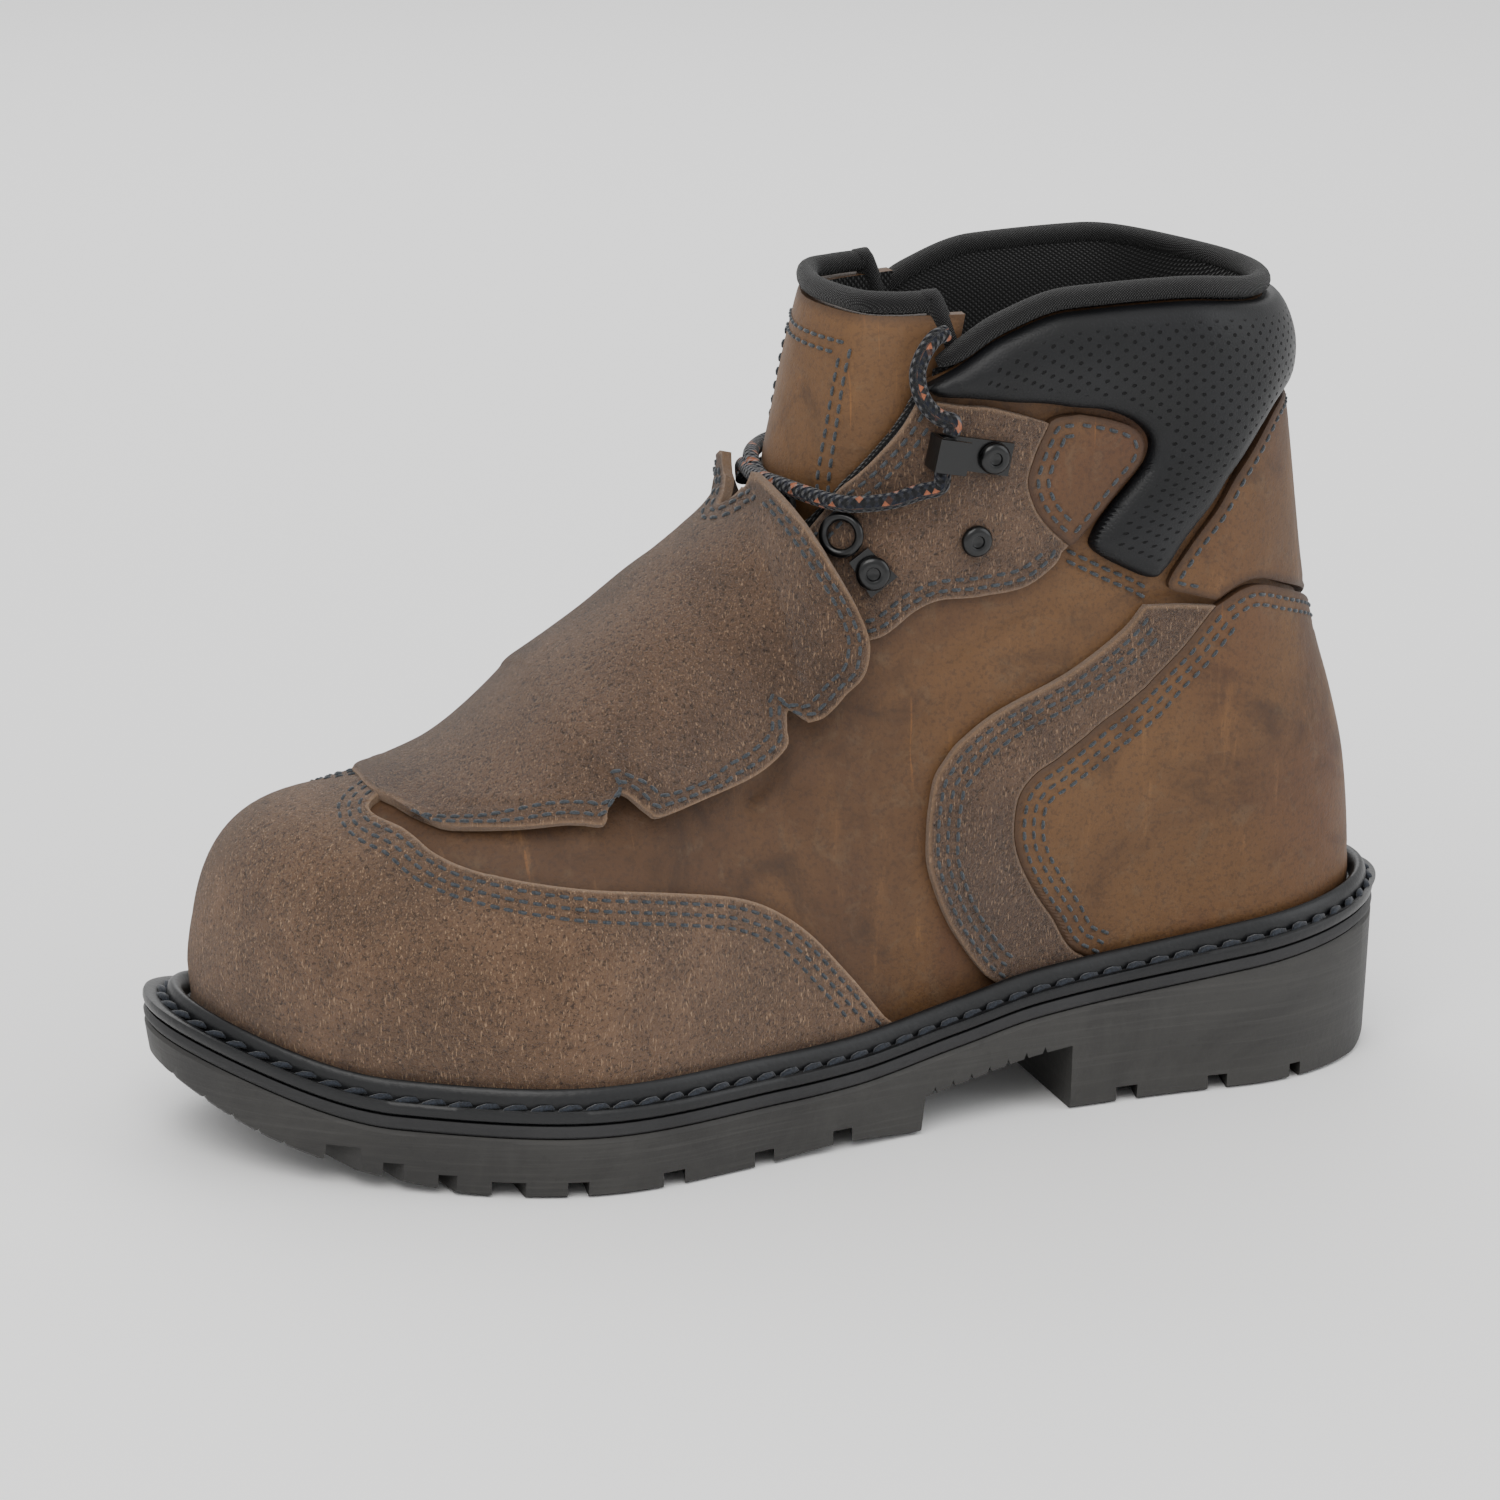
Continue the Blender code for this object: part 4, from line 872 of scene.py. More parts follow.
def stitch_meshes(name, runs, material, pitch, length, width, swing=0.0, high=0.6):
    """Rows of stitches as one mesh. A run is its points and the surface's normals at them."""
    centres, aheads, ups = [], [], []
    for points, normals in runs:
        walked = distances(points)
        count = int(walked[-1] / pitch)
        if count < 1:
            continue
        middles = (np.arange(count) + 0.5) * walked[-1] / count
        before, after = (between(middles + pitch * part, walked, points) for part in (-0.4, 0.4))
        centres.append(between(middles, walked, points))
        aheads.append(unit(after - before))
        ups.append(unit(between(middles, walked, normals)))
    centre, ahead, up = np.vstack(centres), np.vstack(aheads), np.vstack(ups)
    ahead = unit(ahead - up * (ahead * up).sum(1, keepdims=True))
    side = np.cross(up, ahead)
    c, s = math.cos(swing), math.sin(swing)
    ahead, side = ahead * c + side * s, side * c - ahead * s
    angles = 2 * math.pi * np.arange(STITCH_SIDES) / STITCH_SIDES
    points = []
    for along, wide, rise in STITCH:
        for angle in angles:
            across = 0.5 * width * wide * math.cos(angle)
            above = width * (high * rise + 0.42 * wide * math.sin(angle))
            points.append(centre + ahead * along * length + side * across + up * above)
    points = np.stack(points, 1)
    ring = grid_faces(len(STITCH), STITCH_SIDES, 0, True)
    last = (len(STITCH) - 1) * STITCH_SIDES
    ring += [tuple(range(STITCH_SIDES))[::-1], tuple(last + k for k in range(STITCH_SIDES))]
    starts = range(0, points.shape[0] * points.shape[1], points.shape[1])
    faces = [tuple(i + first for i in face) for first in starts for face in ring]
    mesh_object(name, points.reshape(-1, 3), faces, [material], sharp=0)


def sew(name, runs):
    """Rows of stitches in the sewing's own sizes."""
    pitch = sewing().stitch_pitch
    stitch_meshes("boot_" + name + "_stitches", runs, "thread", pitch, pitch * 0.8, sewing().stitch_width)


def run_on(sheet, edge, distance, lift):
    """A stitch run over a sheet, a distance in from one of its edges."""
    places = sheet.inset(distance, edge)
    if len(places) < 3:
        return None
    height = lift(np.full(len(places), distance), places)
    return on_form(places[:, 0], places[:, 1], height), outward(places[:, 0], places[:, 1])


def tube_mesh(name, path, radius, material, slot, sides, *replaced):
    """A round cord along points, its ends closed, with its length and turn kept for the braid."""
    ahead = unit(np.gradient(path, axis=0))
    across = np.cross(ahead[0], [0.0, 0.0, 1.0])
    if np.linalg.norm(across) < 0.2:
        across = np.cross(ahead[0], [1.0, 0.0, 0.0])
    rows, turns, walked = [], [], 0.0
    radii = np.broadcast_to(np.asarray(radius, float), len(path))
    for i, (point, way) in enumerate(zip(path, ahead)):
        across = unit(across - way * (across @ way))
        above = np.cross(way, across)
        walked += np.linalg.norm(point - path[i - 1]) if i else 0.0
        angles = 2 * math.pi * np.arange(sides) / sides
        rows.append(point + radii[i] * (np.cos(angles)[:, None] * across + np.sin(angles)[:, None] * above))
        turns.append(np.stack([np.full(sides, walked * 1000), np.arange(sides) / sides, np.zeros(sides)], -1))
    faces = grid_faces(len(path), sides, 0, True)
    faces += [tuple(range(sides))[::-1], tuple((len(path) - 1) * sides + k for k in range(sides))]
    piece = mesh_object(name, np.vstack(rows), faces, [material], sharp=60, vectors={"cloth": np.vstack(turns)})
    return settled(piece, slot, *replaced)


def grid_mesh(name, outer, inner, materials, slot, rim=None, replaced=()):
    """A closed sheet between two grids of points, its first material outside and round its edge, its last inside."""
    rows, columns = outer.shape[:2]
    count = rows * columns
    top = grid_faces(rows, columns)
    under = [f[::-1] for f in grid_faces(rows, columns, count)]
    border = list(range(columns)) + [j * columns + columns - 1 for j in range(1, rows)]
    border += [(rows - 1) * columns + k for k in range(columns - 2, -1, -1)]
    border += [j * columns for j in range(rows - 2, 0, -1)]
    walls = [(a, a + count, b + count, b) for a, b in zip(border, border[1:] + border[:1])]
    face_slots = [0] * len(top) + [len(materials) - 1] * len(under) + [0] * len(walls)
    numbers = {"rim": np.r_[rim.ravel(), rim.ravel()]} if rim is not None else None
    points = np.vstack([outer.reshape(-1, 3), inner.reshape(-1, 3)])
    piece = mesh_object(name, points, top + under + walls, materials, face_slots, numbers=numbers)
    return settled(piece, slot, *replaced)


def grid_normals(grid):
    """Normals of a grid of points, outward for one whose columns run from lateral to medial going up the boot."""
    return unit(np.cross(np.gradient(grid, axis=0), np.gradient(grid, axis=1)))


# ---- shader maths ----


def math_node(tree, operation, *values):
    node = tree.nodes.new("ShaderNodeMath")
    node.operation = operation
    for socket, value in zip(node.inputs, values):
        plug(tree, socket, value)
    return Wire(tree, node.outputs[0])


class Wire:
    """A shader socket that takes part in Python expressions by adding Math nodes."""

    def __init__(self, tree, socket):
        self.tree, self.socket = tree, socket

    def math(self, operation, *others):
        return math_node(self.tree, operation, self, *others)

    def __add__(self, other):
        return self.math("ADD", other)

    __radd__ = __add__

    def __mul__(self, other):
        return self.math("MULTIPLY", other)

    __rmul__ = __mul__

    def __sub__(self, other):
        return self.math("SUBTRACT", other)

    def __rsub__(self, other):
        return math_node(self.tree, "SUBTRACT", other, self)

    def __truediv__(self, other):
        return self.math("DIVIDE", other)

    def step(self, low, high):
        """0 below low, 1 above high, eased between; high may be the smaller."""
        node = self.tree.nodes.new("ShaderNodeMapRange")
        node.interpolation_type = "SMOOTHSTEP"
        plug(self.tree, node.inputs[0], self)
        node.inputs[1].default_value, node.inputs[2].default_value = sorted((low, high))
        eased = Wire(self.tree, node.outputs[0])
        return eased if low <= high else 1 - eased


def plug(tree, socket, value):
    if isinstance(value, Wire):
        tree.links.new(value.socket, socket)
    elif isinstance(value, (tuple, list)) and len(value) == 3 and socket.type == "RGBA":
        socket.default_value = (*value, 1.0)
    else:
        socket.default_value = value


class Finish:
    """One material being made: its tree, its coordinates and its shader."""

    def __init__(self, name):
        self.material = bpy.data.materials.new(name)
        self.material.use_nodes = True
        self.tree = self.material.node_tree
        self.shader = self.tree.nodes["Principled BSDF"]
        self.place = self.node("TexCoord", "Object")

    def node(self, kind, output=0, settings=None, **values):
        """A node of a type: its settings are set first, then the values or links of its sockets by name."""
        node = self.tree.nodes.new("ShaderNode" + kind)
        for key, value in (settings or {}).items():
            setattr(node, key, value)
        for key, value in values.items():
            plug(self.tree, node.inputs[int(key[1:]) if key[0] == "_" else key.replace("_", " ")], value)
        return Wire(self.tree, node.outputs[output])

    def scaled(self, x, y, z, turn=(0.0, 0.0, 0.0)):
        return self.node("Mapping", Vector=self.place, Scale=(x, y, z), Rotation=turn)

    def noise(self, per_metre, detail=4.0, roughness=0.55, distortion=0.0, source=None):
        where = source or self.place
        return self.node(
            "TexNoise", Vector=where, Scale=per_metre, Detail=detail, Roughness=roughness, Distortion=distortion
        )

    def cells(self, per_metre):
        return self.node("TexVoronoi", "Distance", {"feature": "F1"}, Vector=self.place, Scale=per_metre)

    def number(self, name):
        """A number kept on the mesh's points."""
        return self.node("Attribute", "Fac", {"attribute_name": name})

    def vector(self, name):
        return self.node("Attribute", "Vector", {"attribute_name": name})

    def parts(self, vector):
        node = self.tree.nodes.new("ShaderNodeSeparateXYZ")
        plug(self.tree, node.inputs[0], vector)
        return [Wire(self.tree, out) for out in node.outputs]

    def mix(self, part, first, second):
        return self.node("Mix", 2, {"data_type": "RGBA"}, _0=part, _6=first, _7=second)

    def bump(self, height, distance, strength=1.0, below=None):
        values = {"Height": height, "Distance": distance, "Strength": strength}
        if below is not None:
            values["Normal"] = below
        return self.node("Bump", **values)

    def done(self, colour, roughness, normal=None, metallic=0.0, **constants):
        plug(self.tree, self.shader.inputs["Base Color"], colour)
        plug(self.tree, self.shader.inputs["Roughness"], roughness)
        plug(self.tree, self.shader.inputs["Metallic"], metallic)
        if normal is not None:
            plug(self.tree, self.shader.inputs["Normal"], normal)
        for key, value in constants.items():
            plug(self.tree, self.shader.inputs[key.replace("_", " ")], value)
        return self.material


def srgb(red, green, blue):
    """Linear colour of an sRGB one in 0 to 255."""
    return tuple(v / 3294.6 if v <= 10 else ((v / 255 + 0.055) / 1.055) ** 2.4 for v in (red, green, blue))


def leather_finish(name, base, light, dark, warm):
    """Oiled full-grain leather: clouded colour, lighter pull-up streaks, fine pores and dirt at its edges."""
    f = Finish(name)
    clouds = f.noise(11, 5, 0.6, 0.9)
    patches = f.noise(34, 6, 0.68, 1.4)
    colour = f.mix(clouds.step(0.38, 0.62), base, light)
    colour = f.mix(patches.step(0.50, 0.72) * 0.60, colour, dark)
    colour = f.mix(f.noise(8, 3, 0.5, 0.6).step(0.50, 0.68) * 0.75, colour, warm)
    grey = f.noise(120, 6, 0.7, 0.8)
    colour = f.mix(grey.step(0.52, 0.70) * 0.30, colour, srgb(96, 80, 60))
    streaks = f.noise(1, 7, 0.7, 0.3, source=f.scaled(150, 60, 26, turn=(0.0, 0.5, 0.3)))
    colour = f.mix(streaks.step(0.57, 0.74) * 0.45, colour, srgb(122, 86, 48))
    for turn in ((0.2, -0.7, 0.5), (1.1, 0.4, -0.3)):
        scratch = f.noise(1, 2, 0.4, 0.4, source=f.scaled(620, 160, 18, turn=turn))
        where = f.noise(26, 2).step(0.50, 0.60)
        colour = f.mix(scratch.step(0.70, 0.76) * where * 0.55, colour, srgb(128, 84, 42))
    fine = f.noise(900, 4, 0.7)
    colour = f.mix(fine.step(0.52, 0.36) * 0.40, colour, dark)
    rim = f.number("rim")
    colour = f.mix(rim.step(3.0, 0.2) * 0.6, colour, dark)
    pores = f.cells(1300).step(0.0, 0.55)
    rough = 0.50 + patches * 0.20 - streaks.step(0.55, 0.8) * 0.10 + fine * 0.10
    normal = f.bump(pores, 0.00012, 0.4)
    normal = f.bump(f.noise(230, 6, 0.66, 0.6), 0.0008, 0.35, normal)
    normal = f.bump(f.noise(52, 4, 0.55, 0.4), 0.0020, 0.28, normal)
    return f.done(colour, rough, normal, Specular_IOR_Level=0.40)


def suede_finish(name, base, light, dark, pale, pit):
    """Coarse split suede: mottled nap in clumps, with pale fibres and dark pits."""
    f = Finish(name)
    clouds = f.noise(24, 5, 0.62, 0.8)
    clumps = f.noise(1050, 5, 0.74, 0.8)
    nap = f.noise(2900, 4, 0.8)
    colour = f.mix(clouds.step(0.34, 0.66), base, light)
    colour = f.mix(clumps.step(0.50, 0.38) * 0.90, colour, dark)
    colour = f.mix(clumps.step(0.53, 0.66) * 0.80, colour, light)
    colour = f.mix(nap.step(0.52, 0.72) * 0.45, colour, pale)
    for turn in ((0.3, 0.9, 0.2), (1.2, -0.6, 0.8), (-0.5, 0.2, 1.9)):
        hair = f.noise(1, 2, 0.4, 0.5, source=f.scaled(2600, 2400, 520, turn=turn))
        colour = f.mix(hair.step(0.655, 0.72) * 0.7, colour, pale)
    pits = f.cells(900).step(0.20, 0.08) * f.noise(240, 2).step(0.50, 0.60)
    colour = f.mix(pits * 0.75, colour, pit)
    stain = f.noise(60, 5, 0.6, 1.0).step(0.56, 0.74)
    colour = f.mix(stain * 0.35, colour, dark)
    rim = f.number("rim")
    colour = f.mix(rim.step(1.1, 0.1) * 0.45, colour, pale)
    normal = f.bump(clumps + nap * 0.6, 0.0009, 1.0)
    normal = f.bump(clouds, 0.002, 0.25, normal)
    return f.done(colour, 0.95, normal, Specular_IOR_Level=0.08, Sheen_Weight=0.22, Sheen_Roughness=0.5)


# Pinholes of the collar's leather: distance in a row in millimetres, as the cloth vector has them
PINHOLE_PITCH = 3.4


def pad_finish():
    """Black padded leather with staggered pinholes."""
    f = Finish("perforated_black_leather")
    u, v, _ = f.parts(f.vector("cloth"))
    pitch = PINHOLE_PITCH
    row = (v / (pitch * 0.5)).math("FLOOR")
    shift = (row * 0.5).math("FRACT")
    x = ((u / pitch + shift).math("FRACT") - 0.5) * pitch
    y = ((v / (pitch * 0.5)).math("FRACT") - 0.5) * (pitch * 0.5)
    away = (x * x + y * y).math("SQRT")
    hole = away.step(0.52, 0.34) * f.number("rim").step(3.5, 4.5)
    grain = f.cells(1500).step(0.0, 0.6)
    colour = f.mix(f.noise(60, 4).step(0.3, 0.7), srgb(8, 9, 11), srgb(13, 14, 17))
    colour = f.mix(hole, colour, srgb(2, 2, 3))
    normal = f.bump(1 - hole, 0.0005, 0.8)
    normal = f.bump(grain, 0.00012, 0.35, normal)
    normal = f.bump(f.noise(150, 3), 0.0006, 0.18, normal)
    return f.done(colour, 0.38 + f.noise(90, 3) * 0.16 + hole * 0.4, normal, Specular_IOR_Level=0.32)


def knit_finish(name, base, per_metre):
    """Open black knit with a diagonal mesh of small holes."""
    f = Finish(name)
    settings = {"bands_direction": "DIAGONAL"}
    weave, cross = (
        f.node("TexWave", 1, settings, Vector=where, Scale=per_metre, Distortion=0.6, Detail=1.0)
        for where in (f.place, f.scaled(-1, 1, 1))
    )
    mesh = weave * cross
    colour = f.mix(mesh.step(0.1, 0.6), tuple(c * 0.35 for c in base), base)
    normal = f.bump(mesh, 0.0006, 0.9)
    return f.done(colour, 0.85, normal, Specular_IOR_Level=0.2, Sheen_Weight=0.15)


def rubber_finish(name, base, light, streak=1.0, rough=0.55):
    """Worn sole rubber with fine streaks along the floor and a dusty bloom."""
    f = Finish(name)
    bloom = f.noise(26, 6, 0.65, 0.8)
    lines = f.noise(1, 4, 0.7, source=f.scaled(22, 22, 900))
    colour = f.mix(bloom.step(0.32, 0.72), base, light)
    colour = f.mix(lines.step(0.45, 0.75) * 0.4 * streak, colour, tuple(c * 1.5 for c in light))
    colour = f.mix(f.noise(320, 4).step(0.60, 0.78) * 0.3, colour, tuple(c * 0.55 for c in base))
    height = lines * 0.6 * streak + f.noise(700, 4) * 0.5
    normal = f.bump(height, 0.0005, 0.45)
    normal = f.bump(f.noise(90, 4), 0.001, 0.2, normal)
    return f.done(colour, rough + bloom * 0.15, normal, Specular_IOR_Level=0.4)


def thread_finish(name, base, light):
    f = Finish(name)
    twist = f.noise(1900, 3, 0.6)
    colour = f.mix(twist.step(0.35, 0.65), base, light)
    return f.done(colour, 0.75, f.bump(twist, 0.0003, 0.6), Specular_IOR_Level=0.3, Sheen_Weight=0.2)


def lace_finish():
    """Round braided lace: navy and black plaits with flecks of salmon."""
    f = Finish("lace_cord")
    along, around, _ = f.parts(f.vector("cloth"))
    a, b = along / 2.0 + around * 5.0, along / 2.0 - around * 5.0
    first, second = a.math("FRACT"), b.math("FRACT")
    plait = (first - 0.5).math("ABSOLUTE") * (second - 0.5).math("ABSOLUTE") * 4
    over = ((a.math("FLOOR") + b.math("FLOOR")) * 0.5).math("FRACT").step(0.2, 0.3)
    colour = f.mix(over, srgb(14, 18, 30), srgb(8, 9, 13))
    pick = ((a.math("FLOOR") * 12.9898 + b.math("FLOOR") * 78.233).math("SINE") * 43758.5453).math("FRACT")
    colour = f.mix(pick.step(0.89, 0.91), colour, srgb(140, 84, 58))
    normal = f.bump(plait, 0.0008, 1.0)
    normal = f.bump(f.noise(2500, 2), 0.0002, 0.5, normal)
    return f.done(colour, 0.8, normal, Specular_IOR_Level=0.25, Sheen_Weight=0.2)


def metal_finish():
    f = Finish("black_metal")
    wear = f.noise(260, 4).step(0.62, 0.78)
    colour = f.mix(wear * 0.5, srgb(11, 12, 13), srgb(30, 31, 33))
    return f.done(colour, 0.30 + wear * 0.2, f.bump(f.noise(900, 2), 0.0001, 0.3), metallic=0.35, Coat_Weight=0.2)


def plain_finish(name, base, rough):
    f = Finish(name)
    grain = f.noise(600, 4)
    colour = f.mix(grain.step(0.3, 0.7), base, tuple(c * 1.25 for c in base))
    return f.done(colour, rough, f.bump(grain, 0.0004, 0.4))


LEATHER = (srgb(73, 49, 29), srgb(92, 64, 36), srgb(46, 31, 22), srgb(72, 41, 26))
TONGUE_LEATHER = (srgb(84, 58, 34), srgb(102, 72, 42), srgb(60, 41, 26), srgb(84, 52, 30))
SUEDE = (srgb(74, 55, 42), srgb(98, 74, 56), srgb(38, 27, 21), srgb(160, 130, 102), srgb(22, 15, 11))
CAP_SUEDE = (srgb(88, 66, 49), srgb(116, 88, 66), srgb(50, 36, 28), srgb(178, 146, 114), srgb(28, 19, 14))

MAKERS = {
    "leather": lambda: leather_finish("leather", *LEATHER),
    "tongue_leather": lambda: leather_finish("tongue_leather", *TONGUE_LEATHER),
    "suede": lambda: suede_finish("suede", *SUEDE),
    "cap_suede": lambda: suede_finish("cap_suede", *CAP_SUEDE),
    "black_leather": pad_finish,
    "lining": lambda: knit_finish("lining", srgb(17, 17, 18), 420),
    "binding": lambda: knit_finish("binding", srgb(12, 12, 13), 900),
    "rubber": lambda: rubber_finish("rubber", srgb(38, 37, 36), srgb(52, 51, 49)),
    "midsole_rubber": lambda: rubber_finish("midsole_rubber", srgb(27, 27, 28), srgb(38, 38, 39), 0.7),
    "welt_rubber": lambda: rubber_finish("welt_rubber", srgb(12, 13, 15), srgb(20, 21, 23), 0.2, 0.32),
    "insole_board": lambda: plain_finish("insole_board", srgb(60, 56, 52), 0.9),
    "black_metal": metal_finish,
    "lace_cord": lace_finish,
    "thread": lambda: thread_finish("thread", srgb(38, 42, 46), srgb(62, 67, 72)),
    "welt_thread": lambda: thread_finish("welt_thread", srgb(20, 24, 31), srgb(36, 42, 52)),
}


def finish(name):
    """The material of that name, made once."""
    material = bpy.data.materials.get("boot_" + name)
    if material is None:
        material = MAKERS[name]()
        material.name = "boot_" + name
    return material


# ---- sizes and colours that a user would change ----


def length(name, description, default, least):
    return FloatProperty(name=name, description=description, default=default, min=least, unit="LENGTH")


def power(name, description, default):
    return FloatProperty(name=name, description=description, default=default, unit="POWER")


class BootSewing(bpy.types.PropertyGroup):
    """Sizes of seams, creases and cords."""

    stitch_pitch: length("Stitch pitch", "Length of one stitch with its gap", 3.3 * MM, 1.0 * MM)
    stitch_width: length("Thread width", "Width of the sewing thread", 0.95 * MM, 0.2 * MM)
    row_gap: length("Row gap", "Distance between rows of stitches", 2.5 * MM, 0.5 * MM)
    first_row: length("First row", "Distance of the first row from the edge", 2.3 * MM, 0.5 * MM)
    crease_depth: length("Crease depth", "How deep the vamp's creases are", 1.7 * MM, 0.0)
    lace_width: length("Lace width", "Diameter of the round lace", LACE, 1.0 * MM)


class BootStage(bpy.types.PropertyGroup):
    """The stage and its light."""

    floor_colour: FloatVectorProperty(
        name="Floor colour",
        description="Colour of the pale floor",
        default=(0.96, 0.96, 0.96),
        subtype="COLOR",
        size=3,
    )
    key_power: power("Key light", "Power of the main soft light", 16.0)
    fill_power: power("Fill light", "Power of the light from the side", 8.0)
    rim_power: power("Back light", "Power of the light from behind", 9.0)


def sewing():
    return bpy.context.scene.boot_sewing


# ---- creases: soft troughs and ridges ----

# Troughs in the leather of the quarter and vamp: around's share and walk from end to end, how deep and how wide
CREASES = (
    ((0.560, 0.270), (0.585, 0.330), (0.600, 0.395), 1.1 * MM, 5.0 * MM),
    ((0.520, 0.215), (0.545, 0.290), (0.560, 0.350), 0.8 * MM, 4.2 * MM),
    ((0.610, 0.200), (0.640, 0.270), (0.668, 0.330), 0.9 * MM, 4.6 * MM),
    ((0.480, 0.330), (0.500, 0.410), (0.498, 0.470), 0.7 * MM, 5.5 * MM),
    ((0.430, 0.555), (0.470, 0.540), (0.520, 0.520), 0.8 * MM, 4.5 * MM),
    ((0.270, 0.520), (0.310, 0.545), (0.350, 0.550), 0.7 * MM, 4.0 * MM),
)
# Long soft swells, over the ball and at the ankle
SWELLS = (
    ((0.540, 0.300), (0.570, 0.370), (0.585, 0.440), 0.9 * MM, 9.0 * MM),
    ((0.455, 0.420), (0.470, 0.490), (0.480, 0.550), 0.8 * MM, 9.0 * MM),
    ((0.650, 0.235), (0.690, 0.300), (0.720, 0.350), 0.8 * MM, 8.0 * MM),
)


def crease_lift(around, walk):
    """Rise of the leather at places on either side: swells less troughs, each faded at its ends."""
    both = np.where(around <= 1, around, 2 - around)
    at = form(both, rise_of(walk))
    lift = np.zeros(len(at))
    depth = sewing().crease_depth / MM
    for rows, way in ((CREASES, -1), (SWELLS, 1)):
        for first, middle, last, deep, wide in rows:
            path = curve_through([first, middle, last], 12)
            line_points = form(path[:, 0], rise_of(path[:, 1]))
            gaps = np.linalg.norm(at[:, None] - line_points[None], axis=2)
            nearest_one = gaps.argmin(1)
            along = nearest_one / (len(path) - 1)
            fade = np.sin(math.pi * np.clip(along, 0.02, 0.98)) ** 0.6
            lift += way * depth * deep * fade * np.exp(-((gaps.min(1) / (0.5 * wide)) ** 2))
    return lift


def soft_wander(points, size, strength):
    """A slow, small wander of the surface, from a few crossed waves."""
    x, y, z = (np.asarray(points).T / size) * 2 * math.pi
    waves = np.sin(x + 1.3 * np.sin(0.7 * z)) + np.sin(0.8 * z - 0.6 * y + 2.0) + np.sin(1.4 * y + 0.5 * x + 0.7)
    return strength * waves / 3


# ---- the sole ----


def edge_ring(stations):
    return np.arange(2 * stations) / stations


SOLE_FINE = 150


def dome_faces(first, count, flip):
    found = []
    half = count // 2
    for k in range(half):
        corners = list(dict.fromkeys([k, k + 1, (count - k - 1) % count, (count - k) % count]))
        if len(corners) > 2:
            found.append(tuple(first + i for i in corners[::flip]))
    return found


def sole_slab(node, layers, material):
    """A layer of the sole, through rings of its outline: how far each is drawn in, and its height."""
    around = edge_ring(SOLE_FINE)
    rings = []
    for inset, height in layers:
        x, y = sole_edge(around, inset)
        rings.append(np.stack([x, y, height(x)], -1))
    count = len(around)
    faces = grid_faces(len(rings), count, 0, True)
    faces += dome_faces(0, count, 1) + dome_faces((len(rings) - 1) * count, count, -1)
    return settled(mesh_object("boot_" + node, np.vstack(rings), faces, [material]), material, node)


def scratch_cutter(name, points, faces):
    """A closed mesh that only cuts: it is gone before the end."""
    mesh = bpy.data.meshes.new(name)
    mesh.from_pydata([tuple(float(v) for v in p) for p in points], [], faces)
    tool = bpy.data.objects.new(name, mesh)
    bpy.context.scene.collection.objects.link(tool)
    outward_first(tool)
    return tool


def carve(piece, tools):
    for tool in tools:
        step = piece.modifiers.new(tool.name, "BOOLEAN")
        step.object, step.operation, step.solver = tool, "DIFFERENCE", "EXACT"
    graph = bpy.context.evaluated_depsgraph_get()
    result = bpy.data.meshes.new_from_object(piece.evaluated_get(graph))
    piece.modifiers.clear()
    piece.data = result
    for tool in tools:
        bpy.data.objects.remove(tool, do_unlink=True)
    result.shade_smooth()
    result.set_sharp_from_angle(angle=math.radians(32))


def make_outsole():
    """Lugged rubber unit with rounded edges, side grooves, arch ribs and fine toe ribs."""
    layers = [
        (OUTSOLE_TAPER + 1.0 * MM, tread),
        (OUTSOLE_TAPER * 0.9, lambda x: tread(x) + 0.7 * MM),
        (OUTSOLE_TAPER * 0.55, lambda x: tread(x) + 0.45 * (line(x) - tread(x))),
        (0.3 * MM, lambda x: line(x) - 1.2 * MM),
        (0.9 * MM, lambda x: line(x) - GAP / 2),
    ]
    outsole = sole_slab("outsole", layers, "rubber")
    spans = np.linspace(HEEL_BREAST, ARCH_END, 24)
    outline = [(HEEL_BREAST, -10 * MM)] + [(x, float(arch_underside(x))) for x in spans]
    outline.append((ARCH_END - 2 * MM, -10 * MM))
    count = len(outline)
    points = [(x, -BALL_WIDTH, z) for x, z in outline] + [(x, BALL_WIDTH, z) for x, z in outline]
    faces = [tuple(range(count)), tuple(range(2 * count - 1, count - 1, -1))]
    faces += [(k, (k + 1) % count, (k + 1) % count + count, k + count) for k in range(count)]
    toe = rib_row(place(0.925), TOE_RIBS, tread)
    arch = rib_row(HEEL_BREAST - 7.4 * MM, ARCH_RIBS, arch_underside)
    tools = [
        scratch_cutter("arch", points, faces),
        scratch_cutter("grooves", *groove_blocks()),
        scratch_cutter("ribs", *joined(toe + arch)),
    ]
    carve(outsole, tools)


def make_midsole():
    layers = [
        (0.9 * MM, lambda x: line(x) + GAP / 2),
        (0.25 * MM, lambda x: line(x) + 0.7 * MM),
        (0.1 * MM, lambda x: line(x) + 1.7 * MM),
        (0.7 * MM, midsole_top),
    ]
    layers += [(FILLER_INSET * part, midsole_top) for part in (0.25, 0.5, 0.75, 1)]
    layers.append((FILLER_INSET, welt_top))
    sole_slab("midsole", layers, "midsole_rubber")


WELT_ROWS = 300


def welt_lines():
    """Lines of the welt in plan: its inner edge, the foot of its bead on both sides and the sole's outline."""
    around = edge_ring(WELT_ROWS)
    near = np.stack(base_plan(around, LAYER_GAP + COUNTER_LAYER + 2 * GAP), -1)
    edge = np.stack(sole_edge(around, 0), -1)
    ledge = np.stack(base_plan(around, -WELT_LEDGE), -1)
    reach = edge - near
    crest = near + reach / np.linalg.norm(reach, axis=1, keepdims=True) * BEAD_WIDTH
    return ledge, near, crest, edge


def at_welt(plan, rise):
    return np.column_stack([plan, midsole_top(plan[:, 0]) + SOLE_GAP + rise])


